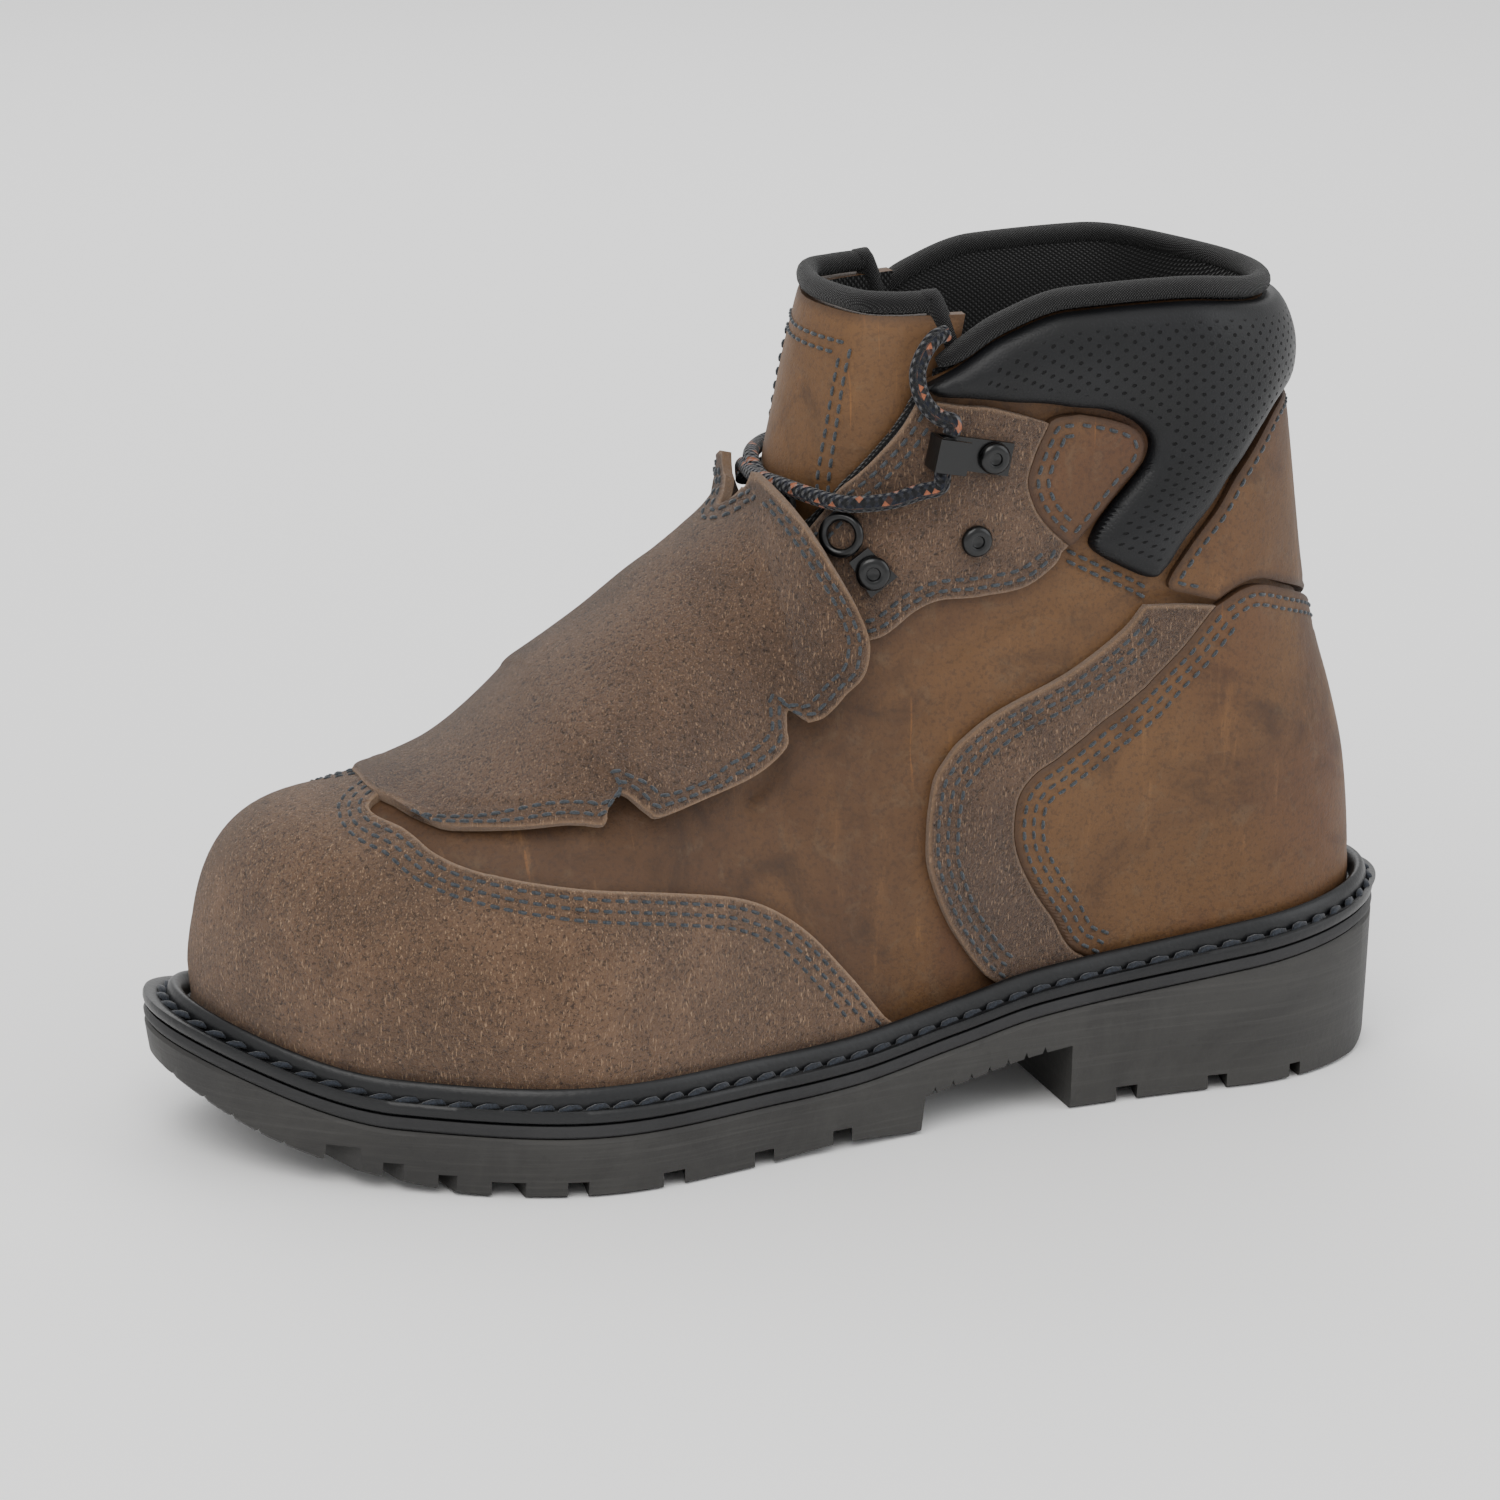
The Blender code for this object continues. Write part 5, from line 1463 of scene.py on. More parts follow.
def make_welt():
    """Flat strip with rounded rim, a stitched groove and a round bead against the layers."""
    ledge, near, crest, edge = welt_lines()
    flat = WELT_THICK
    out = edge - crest
    away = np.linalg.norm(out, axis=1, keepdims=True)
    way = out / away

    def on_flat(distance):
        return edge - way * distance

    rings = [
        at_welt(ledge, 0.0),
        at_welt((near + edge) / 2, 0.0),
        at_welt(on_flat(1.0 * MM), 0.0),
        at_welt(on_flat(0.2 * MM), 0.45 * MM),
        at_welt(on_flat(0.0), 1.2 * MM),
        at_welt(on_flat(0.05 * MM), flat - 1.1 * MM),
        at_welt(on_flat(0.35 * MM), flat - 0.35 * MM),
        at_welt(on_flat(1.0 * MM), flat),
        at_welt(crest + way * 2.6 * MM, flat - 0.05 * MM),
        at_welt(crest + way * 1.7 * MM, flat - 0.55 * MM),
        at_welt(crest + way * 0.6 * MM, flat - 0.85 * MM),
        at_welt(crest, flat - 0.5 * MM),
    ]
    for angle in np.linspace(0.0, math.pi, 11):
        share_out = 0.5 + 0.5 * math.cos(angle)
        rings.append(at_welt(near + (crest - near) * share_out, flat + WELT_BEAD * math.sin(angle)))
    rings[-1] = at_welt(near, flat)
    rings += [at_welt((near + ledge) / 2, flat), at_welt(ledge, flat)]
    count = len(ledge)
    last = (len(rings) - 1) * count
    faces = grid_faces(len(rings), count, 0, True)
    faces += [(last + k, last + (k + 1) % count, (k + 1) % count, k) for k in range(count)]
    settled(mesh_object("boot_welt", np.vstack(rings), faces, ["welt_rubber"]), "welt_rubber", "welt")
    points = at_welt(crest + way * np.minimum(1.2 * MM, 0.30 * away - 0.5 * MM), flat - 0.35 * MM)
    points = np.vstack([points, points[:1]])
    up = np.column_stack([way * 0.15, np.ones(len(way))])
    up = np.vstack([up, up[:1]])
    runs = [(points, unit(up))]
    stitch_meshes("boot_welt_stitches", runs, "welt_thread", 6.4 * MM, 6.6 * MM, 2.1 * MM, 0.32, 0.40)


# ---- the upper ----

UPPER_COLUMNS = 300
UPPER_ROWS = 100


def make_upper():
    """One leather wall with its throat cut out and its creases pressed in; its inner face is the lining."""
    around = np.arange(UPPER_COLUMNS) * 2 / UPPER_COLUMNS
    walks = np.linspace(TUCK, 1.0, UPPER_ROWS)
    a, w = np.meshgrid(around, walks)
    flat_points = form(a.ravel(), rise_of(w.ravel()))
    creased = crease_lift(a.ravel(), w.ravel()) + soft_wander(flat_points, 60 * MM, 0.25 * MM)
    fade = np.clip((w.ravel() - 0.02) / 0.08, 0, 1)
    outer = on_form(a.ravel(), w.ravel(), creased * fade)
    inner = on_form(a.ravel(), w.ravel(), -WALL)
    outline = np.array(in_side_view(THROAT) + in_side_view([(0.66, 0.80), (0.66, 1.30), (0.42, 1.30)]))
    open_at = inside(flat_points[:, [0, 2]], outline)
    count = UPPER_COLUMNS * UPPER_ROWS
    top = [f for f in grid_faces(UPPER_ROWS, UPPER_COLUMNS, 0, True) if not all(open_at[list(f)])]
    under = [tuple(i + count for i in f[::-1]) for f in top]
    walls = wall_faces(top, count)
    kept = sorted({i for f in top for i in f})
    number = {old: new for new, old in enumerate(kept)}
    half = len(kept)
    points = np.vstack([outer[kept], inner[kept]])

    def again(face):
        return tuple(number[i] if i < count else number[i - count] + half for i in face)

    faces = [again(f) for f in top + under + walls]
    slots = [0] * len(top) + [1] * len(under) + [0] * len(walls)
    rim = np.full(len(points), 20.0)
    piece = mesh_object("boot_upper", points, faces, ["leather", "lining"], slots, numbers={"rim": rim})
    settled(piece, "leather", "upper")
    edge = marks(((0.4235, 0.974), *THROAT[2:9]), -1)
    for (name, _), path in zip(SIDES, (edge, np.column_stack([2 - edge[:, 0], edge[:, 1]]))):
        fine = evenly(path, 3 * MM)
        bead = on_form(fine[:, 0], fine[:, 1], -0.8 * MM)
        tube_mesh("boot_throat_binding_" + name, bead, 1.5 * MM, "lining", "lining", 8)


# Seam on the quarter from the side tab's foot to the saddle's top
QUARTER_SEAM = ((0.306, 0.690), (0.290, 0.672), (0.272, 0.652), (0.254, 0.634), (0.238, 0.615))


def make_quarter_seam():
    runs = []
    for _, side in SIDES:
        for drop in (0.0, 0.017):
            path = marks([(a, b - drop) for a, b in QUARTER_SEAM], side)
            fine = evenly(path, 1.5 * MM)
            runs.append((on_form(fine[:, 0], fine[:, 1], 0.35 * MM), outward(fine[:, 0], fine[:, 1])))
    sew("quarter", runs)


# ---- panels ----

BASE_POINTS = 30


def base_line(first, last):
    """Places along the bottom of the upper."""
    return np.column_stack([np.linspace(first, last, BASE_POINTS), np.full(BASE_POINTS, TUCK)])


def hung(edge, side):
    """Marks with the ends below the featherline held at the bottom."""
    found = marks(edge, side)
    found[:, 1] = np.maximum(found[:, 1], TUCK)
    return found


PANEL_LIFT = LAYER_GAP + LAYER
COUNTER_LIFT = LAYER_GAP + COUNTER_LAYER
# Where rows of stitches press the leather in, from its edge
SEAMS = (2.3 * MM, 4.8 * MM, 7.3 * MM)
FACING_SEAMS = (2.0 * MM, 4.2 * MM)
GUARD_SEAMS = (2.6 * MM, 5.4 * MM)


def cut_panel(node, edges, material, lift, rows):
    """A sheet panel with its rows of stitches: the place of an edge and how many rows follow it, in pairs."""
    sheet = Sheet(edges)
    sheet.mesh(node, material, material.replace("cap_", ""), lift)
    settings = sewing()
    runs = []
    for edge, count in rows:
        for number in range(count):
            run = run_on(sheet, edge, settings.first_row + number * settings.row_gap, lift)
            if run is not None:
                runs.append(run)
    sew(node, runs)


def creased_lift(thick, seams, strength):
    """A lift for a sheet that shows part of the creases and wanders a little away from its edge."""
    base = sewn(thick, seams)

    def lift(away, places):
        points = form(places[:, 0], rise_of(places[:, 1]))
        more = crease_lift(places[:, 0], places[:, 1]) * strength
        fade = np.clip(away / (4 * MM), 0, 1)
        return base(away, places) + fade * (more + soft_wander(points, 45 * MM, 0.2 * MM))

    return lift


def make_toe_cap():
    lateral = hung(CAP_EDGE, -1)
    lateral[-1, 0] = min(lateral[-1, 0], 1.0)
    top = np.array([[1.0, float(lateral[-1, 1])]])
    lateral = lateral[lateral[:, 0] < 0.995]
    medial = np.column_stack([2 - lateral[::-1, 0], lateral[::-1, 1]])
    edge = np.vstack([lateral, top, medial])
    bottom = base_line(medial[-1, 0], lateral[0, 0])[1:-1]
    bottom = np.vstack([medial[-1:], bottom, lateral[:1]])
    cut_panel("toe_cap", [edge, bottom], "cap_suede", creased_lift(PANEL_LIFT, SEAMS, 0.4), ((0, 3),))


def make_saddles():
    for name, side in SIDES:
        front = hung(SADDLE_FRONT, side)
        back = hung(COUNTER_FRONT, side)
        top = np.vstack([back[:1], front[:1]])
        floor = np.vstack([front[-1:], back[-1:]])
        lift = creased_lift(PANEL_LIFT, SEAMS[:2], 0.3)
        cut_panel("saddle_" + name, [front, floor, back[::-1], top], "suede", lift, ((0, 3),))


def make_heel():
    """The counter round the heel and the panel above it."""
    front = hung(COUNTER_FRONT, -1)
    front[:, 0] = np.maximum(front[:, 0], 0)
    top = marks(COUNTER_TOP[1:], -1)
    other_top, other_front = mirror_heel(top), mirror_heel(front)
    rim = np.vstack([front[-1:], base_line(front[-1, 0], other_front[0, 0])[1:-1], other_front[:1]])
    edges = [front, rim, other_front, np.vstack([other_top, top])]
    lift = creased_lift(COUNTER_LIFT, SEAMS, 0.4)
    cut_panel("heel_counter", edges, "leather", lift, ((0, 3), (2, 3), (3, 2)))
    front = marks(BACK_PANEL_FRONT[:-1], -1)
    low = marks([(a, b + 0.01) for a, b in COUNTER_TOP[1:]], -1)[::-1]
    other_front, other_low = mirror_heel(front), mirror_heel(low)
    edges = [
        np.vstack([low[:1], front[:1]]),
        front,
        np.vstack([front[-1:], other_front[:1]]),
        other_front,
        np.vstack([other_front[-1:], other_low[-1:]]),
        np.vstack([other_low[::-1], low[::-1]]),
    ]
    cut_panel("back_panel", edges, "leather", creased_lift(PANEL_LIFT, SEAMS[:1], 0.5), ((1, 1), (3, 1)))


def make_facings():
    for name, side in SIDES:
        front, low, tab, top = (hung(edge, side) for edge in (EYESTAY_FRONT, EYESTAY_LOW, TAB_FRONT, EYESTAY_TOP))
        lift = sewn(PANEL_LIFT, FACING_SEAMS)
        cut_panel("eyestay_" + name, [front, low, tab, top], "suede", lift, ((0, 2), (1, 2)))
        back = hung(TAB_BACK, side)
        edges = [np.vstack([tab, back[:1]]), np.vstack([back, tab[:1]])]
        cut_panel("side_tab_" + name, edges, "leather", sewn(COUNTER_LIFT, FACING_SEAMS[:1]), ((0, 2), (1, 1)))


# ---- collar, tongue and guard ----


def make_collar_pad():
    """Crowned padded panel round the collar, with a tail down each side."""
    edge = marks(PAD_EDGE[1:-1], -1)
    edge[:, 1] = np.minimum(edge[:, 1], 1.0)
    heel = np.array([[0.0, float(marks(PAD_EDGE[-2:-1], -1)[0, 1])]])
    lateral = np.vstack([edge, heel])
    medial = mirror_heel(lateral)
    top = np.column_stack([np.linspace(medial[-1, 0], lateral[0, 0], 40), np.ones(40)])
    top[0], top[-1] = medial[-1], lateral[0]
    lift = sewn(2.0 * MM, (), 4.6 * MM, 13 * MM, 0.5)
    piece = Sheet([lateral, medial, top]).mesh("collar_pad", "black_leather", "black_leather", lift)


def around_collar(along):
    """Place around of the collar's lateral point at a share of the length."""
    x = np.array([place(along)])
    return float(spot(x, collar(x), -1)[0][0])


def make_collar_roll():
    start = around_collar(PAD_EDGE[0][0] - 0.012)
    around = np.linspace(start, -start, 140)
    path = skin(around, 1.0, -WALL / 4)
    path[:, 2] = collar(path[:, 0]) + ROLL_RADIUS + 2 * GAP
    tube_mesh("boot_collar_roll", path, tapered(path, ROLL_RADIUS), "binding", "lining", 18, "collar_roll")


def tapered(path, radius, reach=7 * MM, least=0.45):
    """Radii along a path, eased down toward both of its ends."""
    walked = distances(path)
    near_end = np.minimum(walked, walked[-1] - walked)
    return radius * (least + (1 - least) * np.sqrt(np.clip(near_end / reach, 0, 1)))


LINING_BULGE = 5.0 * MM
LINING_LOW = 0.74


def make_collar_lining():
    """The padded knit lining inside the collar."""
    start = around_collar(PAD_EDGE[0][0] - 0.010)
    around, walk = np.meshgrid(np.linspace(start, -start, 120), np.linspace(LINING_LOW, 1.0, 22))
    part = (walk - LINING_LOW) / (1 - LINING_LOW)
    ends = np.clip((start - np.abs(around)) / 0.05, 0, 1) ** 0.5
    bulge = LINING_BULGE * np.sin(math.pi * np.clip(part, 0, 1) ** 1.4) ** 0.6 * (0.3 + 0.7 * ends)
    outer = on_form(around.ravel(), walk.ravel(), -WALL + 0.4 * MM).reshape(*around.shape, 3)
    inner = on_form(around.ravel(), walk.ravel(), (-WALL - bulge).ravel()).reshape(*around.shape, 3)
    outer[-1, :, 2] += 1.6 * MM
    inner[-1, :, 2] += 1.6 * MM
    grid_mesh("boot_collar_lining", inner, outer, ["lining"], "lining")


def refined(grid, down, across):
    """A grid of points on smooth curves through a coarse one."""
    rows = curve_through(grid.reshape(len(grid), -1), down).reshape(-1, *grid.shape[1:])
    turned_rows = rows.transpose(1, 0, 2)
    fine = curve_through(turned_rows.reshape(len(turned_rows), -1), across)
    return fine.reshape(-1, *turned_rows.shape[1:]).transpose(1, 0, 2)


def grid_rim(grid):
    """Distance of each grid point to its border."""
    points = grid.reshape(-1, 3)
    border = np.vstack([grid[0], grid[-1], grid[:, 0], grid[:, -1]])
    return nearest(points, border)


# Half width of the tongue's stitched frame, its distance from the tongue's top, and between its rows
TONGUE_FRAME = 19 * MM
FRAME_TOP = 10 * MM
FRAME_ROW_GAP = 2.8 * MM
TONGUE_SWELL = 1.5 * MM


def make_tongue():
    """Leather tongue, softly padded, its binding, and a double-stitched frame."""
    outer, inner = refined(tongue_grid(0.0), 7, 5), refined(tongue_grid(TONGUE_THICK), 7, 5)
    normals = grid_normals(outer)
    if normals[len(outer) // 2, outer.shape[1] // 2, 0] > 0:
        normals = -normals
    rim = grid_rim(outer)
    across = np.linspace(-1, 1, outer.shape[1])[None]
    down = np.linspace(0, 1, outer.shape[0])[:, None]
    swell = np.clip(1 - np.abs(across) ** 3, 0, 1) * np.sin(math.pi * np.clip(down * 0.95 + 0.05, 0, 1)) ** 0.4
    wave = soft_wander(outer.reshape(-1, 3), 42 * MM, 0.5 * MM).reshape(outer.shape[:2])
    outer = outer + normals * (TONGUE_SWELL * swell + wave)[..., None]
    materials = ["tongue_leather", "lining"]
    piece = grid_mesh("boot_tongue", outer, inner, materials, "leather", rim * 1000, ("tongue",))
    crest = ((outer[-1] + inner[-1]) / 2)[4:-4]
    crest[:, 2] += ROLL_RADIUS + 2 * GAP
    sides = [((outer[j, k] + inner[j, k]) / 2) for k in (0, -1) for j in (-30, -22, -13)]
    path = curve_through(np.vstack([sides[:3], crest, sides[:2:-1]]), 4)
    tube_mesh("boot_tongue_binding", path, tapered(path, ROLL_RADIUS), "binding", "lining", 16, "tongue_binding")
    runs = []
    middle = outer.shape[1] // 2
    for gap in (0.0, FRAME_ROW_GAP):
        columns = [outer[::-1, k] for k in range(outer.shape[1])]
        drops = [distances(c) for c in columns]
        top = np.array([between(FRAME_TOP - gap, d, c) for c, d in zip(columns, drops)])
        walked = distances(top)
        within = np.abs(walked - walked[middle]) < TONGUE_FRAME + gap
        runs.append((top[within], normals[-8, within]))
        rows = np.arange(int(outer.shape[0] * 0.42), outer.shape[0] - 1)
        rows = [j for j in rows if drops[middle][len(outer) - 1 - j] > FRAME_TOP - gap]
        for side in (-1, 1):
            places = []
            for j in rows:
                walked = distances(outer[j])
                target = walked[middle] + side * (TONGUE_FRAME + gap)
                places.append(between(target, walked, np.hstack([outer[j], normals[j]])))
            places = np.array(places)
            runs.append((places[:, :3], places[:, 3:]))
    sew("tongue", runs)


GUARD_SPAN_ROWS = 5
GUARD_ACROSS = 61


def guard_places():
    """Places around and rises of the guard's grid, and how far across it its columns are."""
    table = curve_through(np.array(GUARD, float), GUARD_SPAN_ROWS)
    x = place(table[:, 1])
    z = SEAT_HEIGHT + SHAFT_HEIGHT * table[:, 2]
    edge_around, edge_rise = spot(x, z, -1)
    ridge_x = place(table[:, 0])
    ridge_rise = ridge_height(ridge_x) / (collar(ridge_x) - feather(ridge_x))
    across = np.linspace(-1, 1, GUARD_ACROSS)
    around = 1 + across[None] * (1 - edge_around[:, None])
    rise = ridge_rise[:, None] + (edge_rise - ridge_rise)[:, None] * np.abs(across[None]) ** 1.6
    return around, rise, across


def make_guard():
    """Suede flap with two notches a side, softly dented, and two rows of stitches inside its edge."""
    around, rise, across = guard_places()
    along = np.linspace(0, 1, len(around))[:, None]
    lift = 2 * GAP + GUARD_LIFT * ease(along, 0, 0.3)
    lift = lift + GUARD_END_LIFT * ease(along, 0.55, 0.9) * (0.45 + 0.55 * across[None] ** 2)
    outer, inner = skin(around, rise, lift + GUARD_THICK), skin(around, rise, lift)
    points = outer.reshape(-1, 3)
    wave = soft_wander(points, 55 * MM, 0.55 * MM) + soft_wander(points[:, [1, 2, 0]], 27 * MM, 0.25 * MM)
    wave = wave.reshape(around.shape)
    rim = grid_rim(outer).reshape(around.shape)
    seams = sum(np.exp(-(((rim - gap) / (0.9 * MM)) ** 2)) for gap in GUARD_SEAMS)
    normals = unit(outer - inner)
    edge_round = 0.7 * MM * np.clip(1 - rim / (0.9 * MM), 0, 1) ** 2
    shaped = wave * np.clip(rim / (5 * MM), 0, 1) - 0.35 * MM * seams - edge_round
    outer = outer + normals * shaped[..., None]
    grid_mesh("boot_metatarsal_guard", outer, inner, ["suede"], "suede", rim * 1000, ("metatarsal_guard",))
    both = np.concatenate([outer, normals], -1)
    rows, columns = both[3:-3], both[::-1, 4:-4].transpose(1, 0, 2)
    runs = []
    for gap in GUARD_SEAMS:
        for lines in (rows, rows[:, ::-1], columns):
            places = np.array([between(gap, distances(row[:, :3]), row) for row in lines])
            runs.append((places[:, :3], unit(places[:, 3:])))
    sew("guard", runs)


# ---- hardware and lace ----

RIVET_SIDES = 40
RING_STATIONS = 48
RING_SIDES = 14
# Rim, dish and dimple of a rivet's head: share of its radius, share of its height
RIVET_HEAD = (
    (1.00, 0.00), (1.02, 0.30), (0.97, 0.62), (0.86, 0.86), (0.70, 0.98), (0.52, 1.00), (0.42, 0.90),
    (0.36, 0.62), (0.20, 0.50), (0.00, 0.48),
)


def metal_piece(node, points, faces):
    settled(mesh_object("boot_" + node, points, faces, ["black_metal"]), "black_metal", node)


def rivet_mesh(node, seat, radius=RIVET_RADIUS * 1.12):
    """A round head about the seat's outward axis with a dimple in its middle."""
    sides = RIVET_SIDES
    points = []
    for wide, high in RIVET_HEAD[:-1]:
        for angle in 2 * math.pi * np.arange(sides) / sides:
            across, along = radius * wide * math.cos(angle), radius * wide * math.sin(angle)
            points.append(seat.at(across, along, RIVET_HEIGHT * 1.15 * high))
    faces = grid_faces(len(RIVET_HEAD) - 1, sides, 0, True)
    last = (len(RIVET_HEAD) - 2) * sides
    points.append(seat.at(0, 0, RIVET_HEIGHT * RIVET_HEAD[-1][1]))
    faces += [(last + k, last + (k + 1) % sides, len(points) - 1) for k in range(sides)]
    faces.append(tuple(range(sides))[::-1])
    metal_piece(node, points, faces)


def ring_mesh(node, seat):
    """A round wire bent to a ring about the seat's outward axis."""
    stations, sides = RING_STATIONS, RING_SIDES
    points = []
    for a in 2 * math.pi * np.arange(stations) / stations:
        for b in 2 * math.pi * np.arange(sides) / sides:
            radius = RING_RADIUS + RING_WIRE * math.cos(b)
            points.append(seat.at(radius * math.cos(a), radius * math.sin(a), RING_WIRE * math.sin(b)))
    faces = grid_faces(stations, sides, 0, True)
    last = (stations - 1) * sides
    faces += [(last + j, last + (j + 1) % sides, (j + 1) % sides, j) for j in range(sides)]
    metal_piece(node, points, faces)


METAL_ROUND = 1.1 * MM


def soften(node):
    """Rounded edges on a solid that stays."""
    step = bpy.data.objects[node].modifiers.new("edges", "BEVEL")
    step.width, step.segments, step.limit_method = METAL_ROUND, 3, "ANGLE"
    step.angle_limit = math.radians(40)


def dress(node, material):
    """A solid that stays gets a finish in all of its slots."""
    piece = bpy.data.objects[node]
    if not piece.material_slots:
        piece.data.materials.append(None)
    for slot in piece.material_slots:
        slot.link = "OBJECT"
        slot.material = finish(material)


def make_hardware():
    for name, side in SIDES:
        hook = Seat(HOOK_SPOT, side, ON_LEATHER + PLATE_THICK + GAP, HOOK_TIP)
        ring_rivet = Seat(RING_RIVET_SPOT, side, ON_LEATHER + PLATE_THICK + GAP, RING_SPOT)
        rivet_mesh("hook_rivet_" + name, hook)
        rivet_mesh("ring_rivet_" + name, ring_rivet, RIVET_RADIUS * 1.2)
        rivet_mesh("rivet_" + name, Seat(RIVET_SPOT, side, ON_LEATHER, RING_SPOT))
        ring_mesh("lace_ring_" + name, Seat(RING_SPOT, side, ON_LEATHER + RING_WIRE, HOOK_TIP))
        for node in ("lace_hook_" + name, "ring_plate_" + name):
            soften(node)
            dress(node, "black_metal")


LACE_SIDES = 20


def make_lace():
    """Both crossing cords and the ends past the hooks."""
    radius = sewing().lace_width / 2
    for name, side, rows in (("over", -1, LACE_OVER), ("under", 1, LACE_UNDER)):
        path = curve_through(in_hook(side, HOOK_PASS[::-1]) + route(rows, side), 10)
        tube_mesh("boot_lace_" + name, path, radius, "lace_cord", "lace_cord", LACE_SIDES, "lace")
    for name, side in SIDES:
        path = curve_through(in_hook(side, (0.60, 0.95)) + route(LACE_END, side), 8)
        node = "lace_end_" + name
        piece = tube_mesh("boot_" + node, path, radius, "lace_cord", "lace_cord", LACE_SIDES, node)


# ---- stage ----

CAMERA_TURN = math.radians(-19.0)
CAMERA_RISE = math.radians(16.74)
CAMERA_ROLL = math.radians(0.38)
CAMERA_AWAY = 1.5
CAMERA_AIM = (-0.0079, PLAN_SHIFT, 0.08675)
CAMERA_LENS = 148.7


def make_camera():
    a, e, roll = CAMERA_TURN, CAMERA_RISE, CAMERA_ROLL
    back = Vector((math.sin(a) * math.cos(e), -math.cos(a) * math.cos(e), math.sin(e)))
    right = Vector((math.cos(a), math.sin(a), 0))
    up = back.cross(right)
    right, up = right * math.cos(roll) + up * math.sin(roll), up * math.cos(roll) - right * math.sin(roll)
    data = bpy.data.cameras.new("camera")
    data.lens, data.sensor_width = CAMERA_LENS, 36
    data.clip_start, data.clip_end = 0.05, 20
    camera = bpy.data.objects.new("camera", data)
    bpy.context.scene.collection.objects.link(camera)
    centre = Vector(CAMERA_AIM) + back * CAMERA_AWAY
    turned_to = Matrix((right, up, back)).transposed().to_4x4()
    camera.matrix_world = Matrix.Translation(centre) @ turned_to
    bpy.context.scene.camera = camera


# Lights: name, setting, place, size across, warmth
LIGHTS = (
    ("key", "key_power", (-0.55, -0.9, 1.35), 1.1, (1.0, 0.985, 0.96)),
    ("fill", "fill_power", (1.3, -0.8, 0.8), 1.2, (0.96, 0.98, 1.0)),
    ("back", "rim_power", (0.2, 1.2, 1.1), 1.2, (1.0, 1.0, 1.0)),
)


FLOOR_HALF = 6.0
FLOOR_DROP = 0.2 * MM


def make_stage():
    """The pale floor, three soft lights, an even sky and the camera."""
    settings = bpy.context.scene.boot_stage
    half = FLOOR_HALF
    floor_mesh = bpy.data.meshes.new("floor")
    corners = [(-half, -half, 0), (half, -half, 0), (half, half, 0), (-half, half, 0)]
    floor_mesh.from_pydata(corners, [], [(0, 1, 2, 3)])
    f = Finish("floor")
    f.done(tuple(settings.floor_colour), 0.9, Specular_IOR_Level=0.1)
    floor_mesh.materials.append(f.material)
    floor = bpy.data.objects.new("floor", floor_mesh)
    floor.location.z = -FLOOR_DROP
    bpy.context.scene.collection.objects.link(floor)
    for name, power, spot_at, size, colour in LIGHTS:
        data = bpy.data.lights.new(name, "AREA")
        data.energy, data.size, data.color = getattr(settings, power), size, colour
        light = bpy.data.objects.new(name, data)
        light.location = spot_at
        light.rotation_euler = (Vector((0, 0, 0.08)) - Vector(spot_at)).to_track_quat("-Z", "Y").to_euler()
        bpy.context.scene.collection.objects.link(light)
    world = bpy.data.worlds.new("studio")
    world.use_nodes = True
    sky = world.node_tree.nodes["Background"]
    sky.inputs["Color"].default_value = (1.0, 1.0, 1.0, 1)
    sky.inputs["Strength"].default_value = 0.95
    bpy.context.scene.world = world
    make_camera()


# ---- operators, panel and registration ----


class BOOT_OT_sole(bpy.types.Operator):
    """The outsole, midsole and stitched welt."""

    bl_idname = "boot.sole"
    bl_label = "Sole"

    def execute(self, context):
        make_outsole()
        make_midsole()
        make_welt()
        dress("insole", "insole_board")
        return {"FINISHED"}


class BOOT_OT_upper(bpy.types.Operator):
    """The vamp and quarters with their creases and lining."""

    bl_idname = "boot.upper"
    bl_label = "Upper"

    def execute(self, context):
        make_upper()
        make_quarter_seam()
        return {"FINISHED"}


class BOOT_OT_toe_cap(bpy.types.Operator):
    """The suede cap over the toe, triple stitched."""

    bl_idname = "boot.toe_cap"
    bl_label = "Toe cap"

    def execute(self, context):
        make_toe_cap()
        return {"FINISHED"}


class BOOT_OT_saddles(bpy.types.Operator):
    """The suede strips from the welt to the ankle."""

    bl_idname = "boot.saddles"
    bl_label = "Saddles"

    def execute(self, context):
        make_saddles()
        return {"FINISHED"}


class BOOT_OT_heel(bpy.types.Operator):
    """The leather pieces over the heel."""

    bl_idname = "boot.heel"
    bl_label = "Heel counter and back"

    def execute(self, context):
        make_heel()
        return {"FINISHED"}


class BOOT_OT_facings(bpy.types.Operator):
    """The suede facings and the tabs behind them."""

    bl_idname = "boot.facings"
    bl_label = "Facings and side tabs"

    def execute(self, context):
        make_facings()
        return {"FINISHED"}


class BOOT_OT_collar(bpy.types.Operator):
    """The padded collar and its knit binding."""

    bl_idname = "boot.collar"
    bl_label = "Collar"

    def execute(self, context):
        make_collar_pad()
        make_collar_roll()
        make_collar_lining()
        return {"FINISHED"}


class BOOT_OT_tongue(bpy.types.Operator):
    """The padded tongue with its stitched frame and binding."""

    bl_idname = "boot.tongue"
    bl_label = "Tongue"

    def execute(self, context):
        make_tongue()
        return {"FINISHED"}


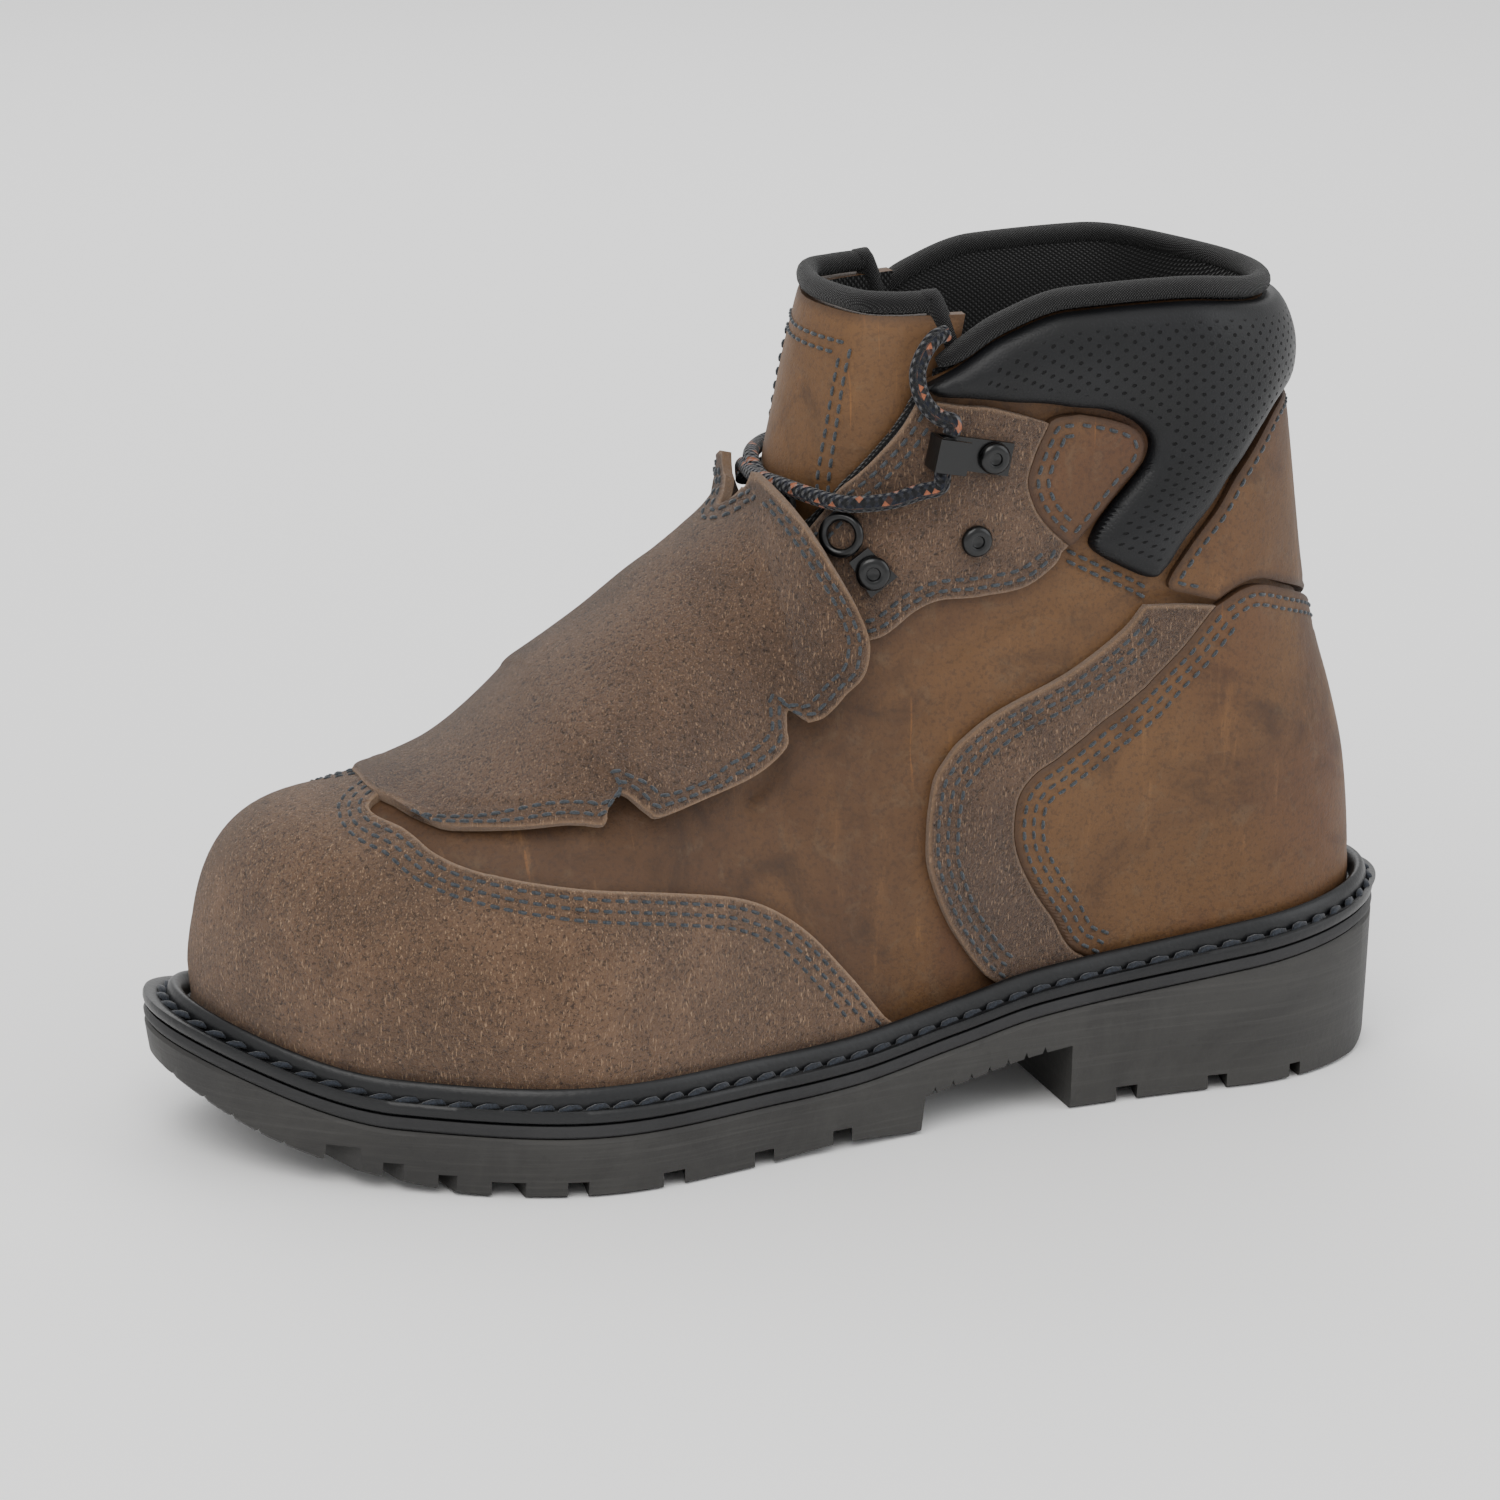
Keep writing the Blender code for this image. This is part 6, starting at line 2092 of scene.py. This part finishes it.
class BOOT_OT_guard(bpy.types.Operator):
    """The suede flap over the instep."""

    bl_idname = "boot.guard"
    bl_label = "Metatarsal guard"

    def execute(self, context):
        make_guard()
        return {"FINISHED"}


class BOOT_OT_hardware(bpy.types.Operator):
    """Hooks, rings, plates and rivets."""

    bl_idname = "boot.hardware"
    bl_label = "Hardware"

    def execute(self, context):
        make_hardware()
        return {"FINISHED"}


class BOOT_OT_lace(bpy.types.Operator):
    """The crossing lace and its two ends."""

    bl_idname = "boot.lace"
    bl_label = "Lace"

    def execute(self, context):
        make_lace()
        return {"FINISHED"}


class BOOT_OT_stage(bpy.types.Operator):
    """Floor, soft lights, world and camera."""

    bl_idname = "boot.stage"
    bl_label = "Stage"

    def execute(self, context):
        make_stage()
        return {"FINISHED"}


PIECES = (
    BOOT_OT_sole,
    BOOT_OT_upper,
    BOOT_OT_toe_cap,
    BOOT_OT_saddles,
    BOOT_OT_heel,
    BOOT_OT_facings,
    BOOT_OT_collar,
    BOOT_OT_tongue,
    BOOT_OT_guard,
    BOOT_OT_hardware,
    BOOT_OT_lace,
    BOOT_OT_stage,
)


class BOOT_PT_pieces(bpy.types.Panel):
    """Sizes, colours and pieces of the boot."""

    bl_label = "Boot"
    bl_space_type = "VIEW_3D"
    bl_region_type = "UI"
    bl_category = "Boot"

    def draw(self, context):
        column_of = self.layout.column()
        for settings in (context.scene.boot_sewing, context.scene.boot_stage):
            for key in settings.__annotations__:
                column_of.prop(settings, key)
        for piece in PIECES:
            column_of.operator(piece.bl_idname)


CLASSES = (BootSewing, BootStage, *PIECES, BOOT_PT_pieces)


def register():
    for kind in CLASSES:
        bpy.utils.register_class(kind)
    bpy.types.Scene.boot_sewing = PointerProperty(type=BootSewing)
    bpy.types.Scene.boot_stage = PointerProperty(type=BootStage)


def unregister():
    del bpy.types.Scene.boot_stage
    del bpy.types.Scene.boot_sewing
    for kind in reversed(CLASSES):
        bpy.utils.unregister_class(kind)


def main():
    register()
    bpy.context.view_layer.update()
    for piece in PIECES:
        name = piece.bl_idname.split(".")[1]
        getattr(bpy.ops.boot, name)()


if __name__ == "__main__":
    main()
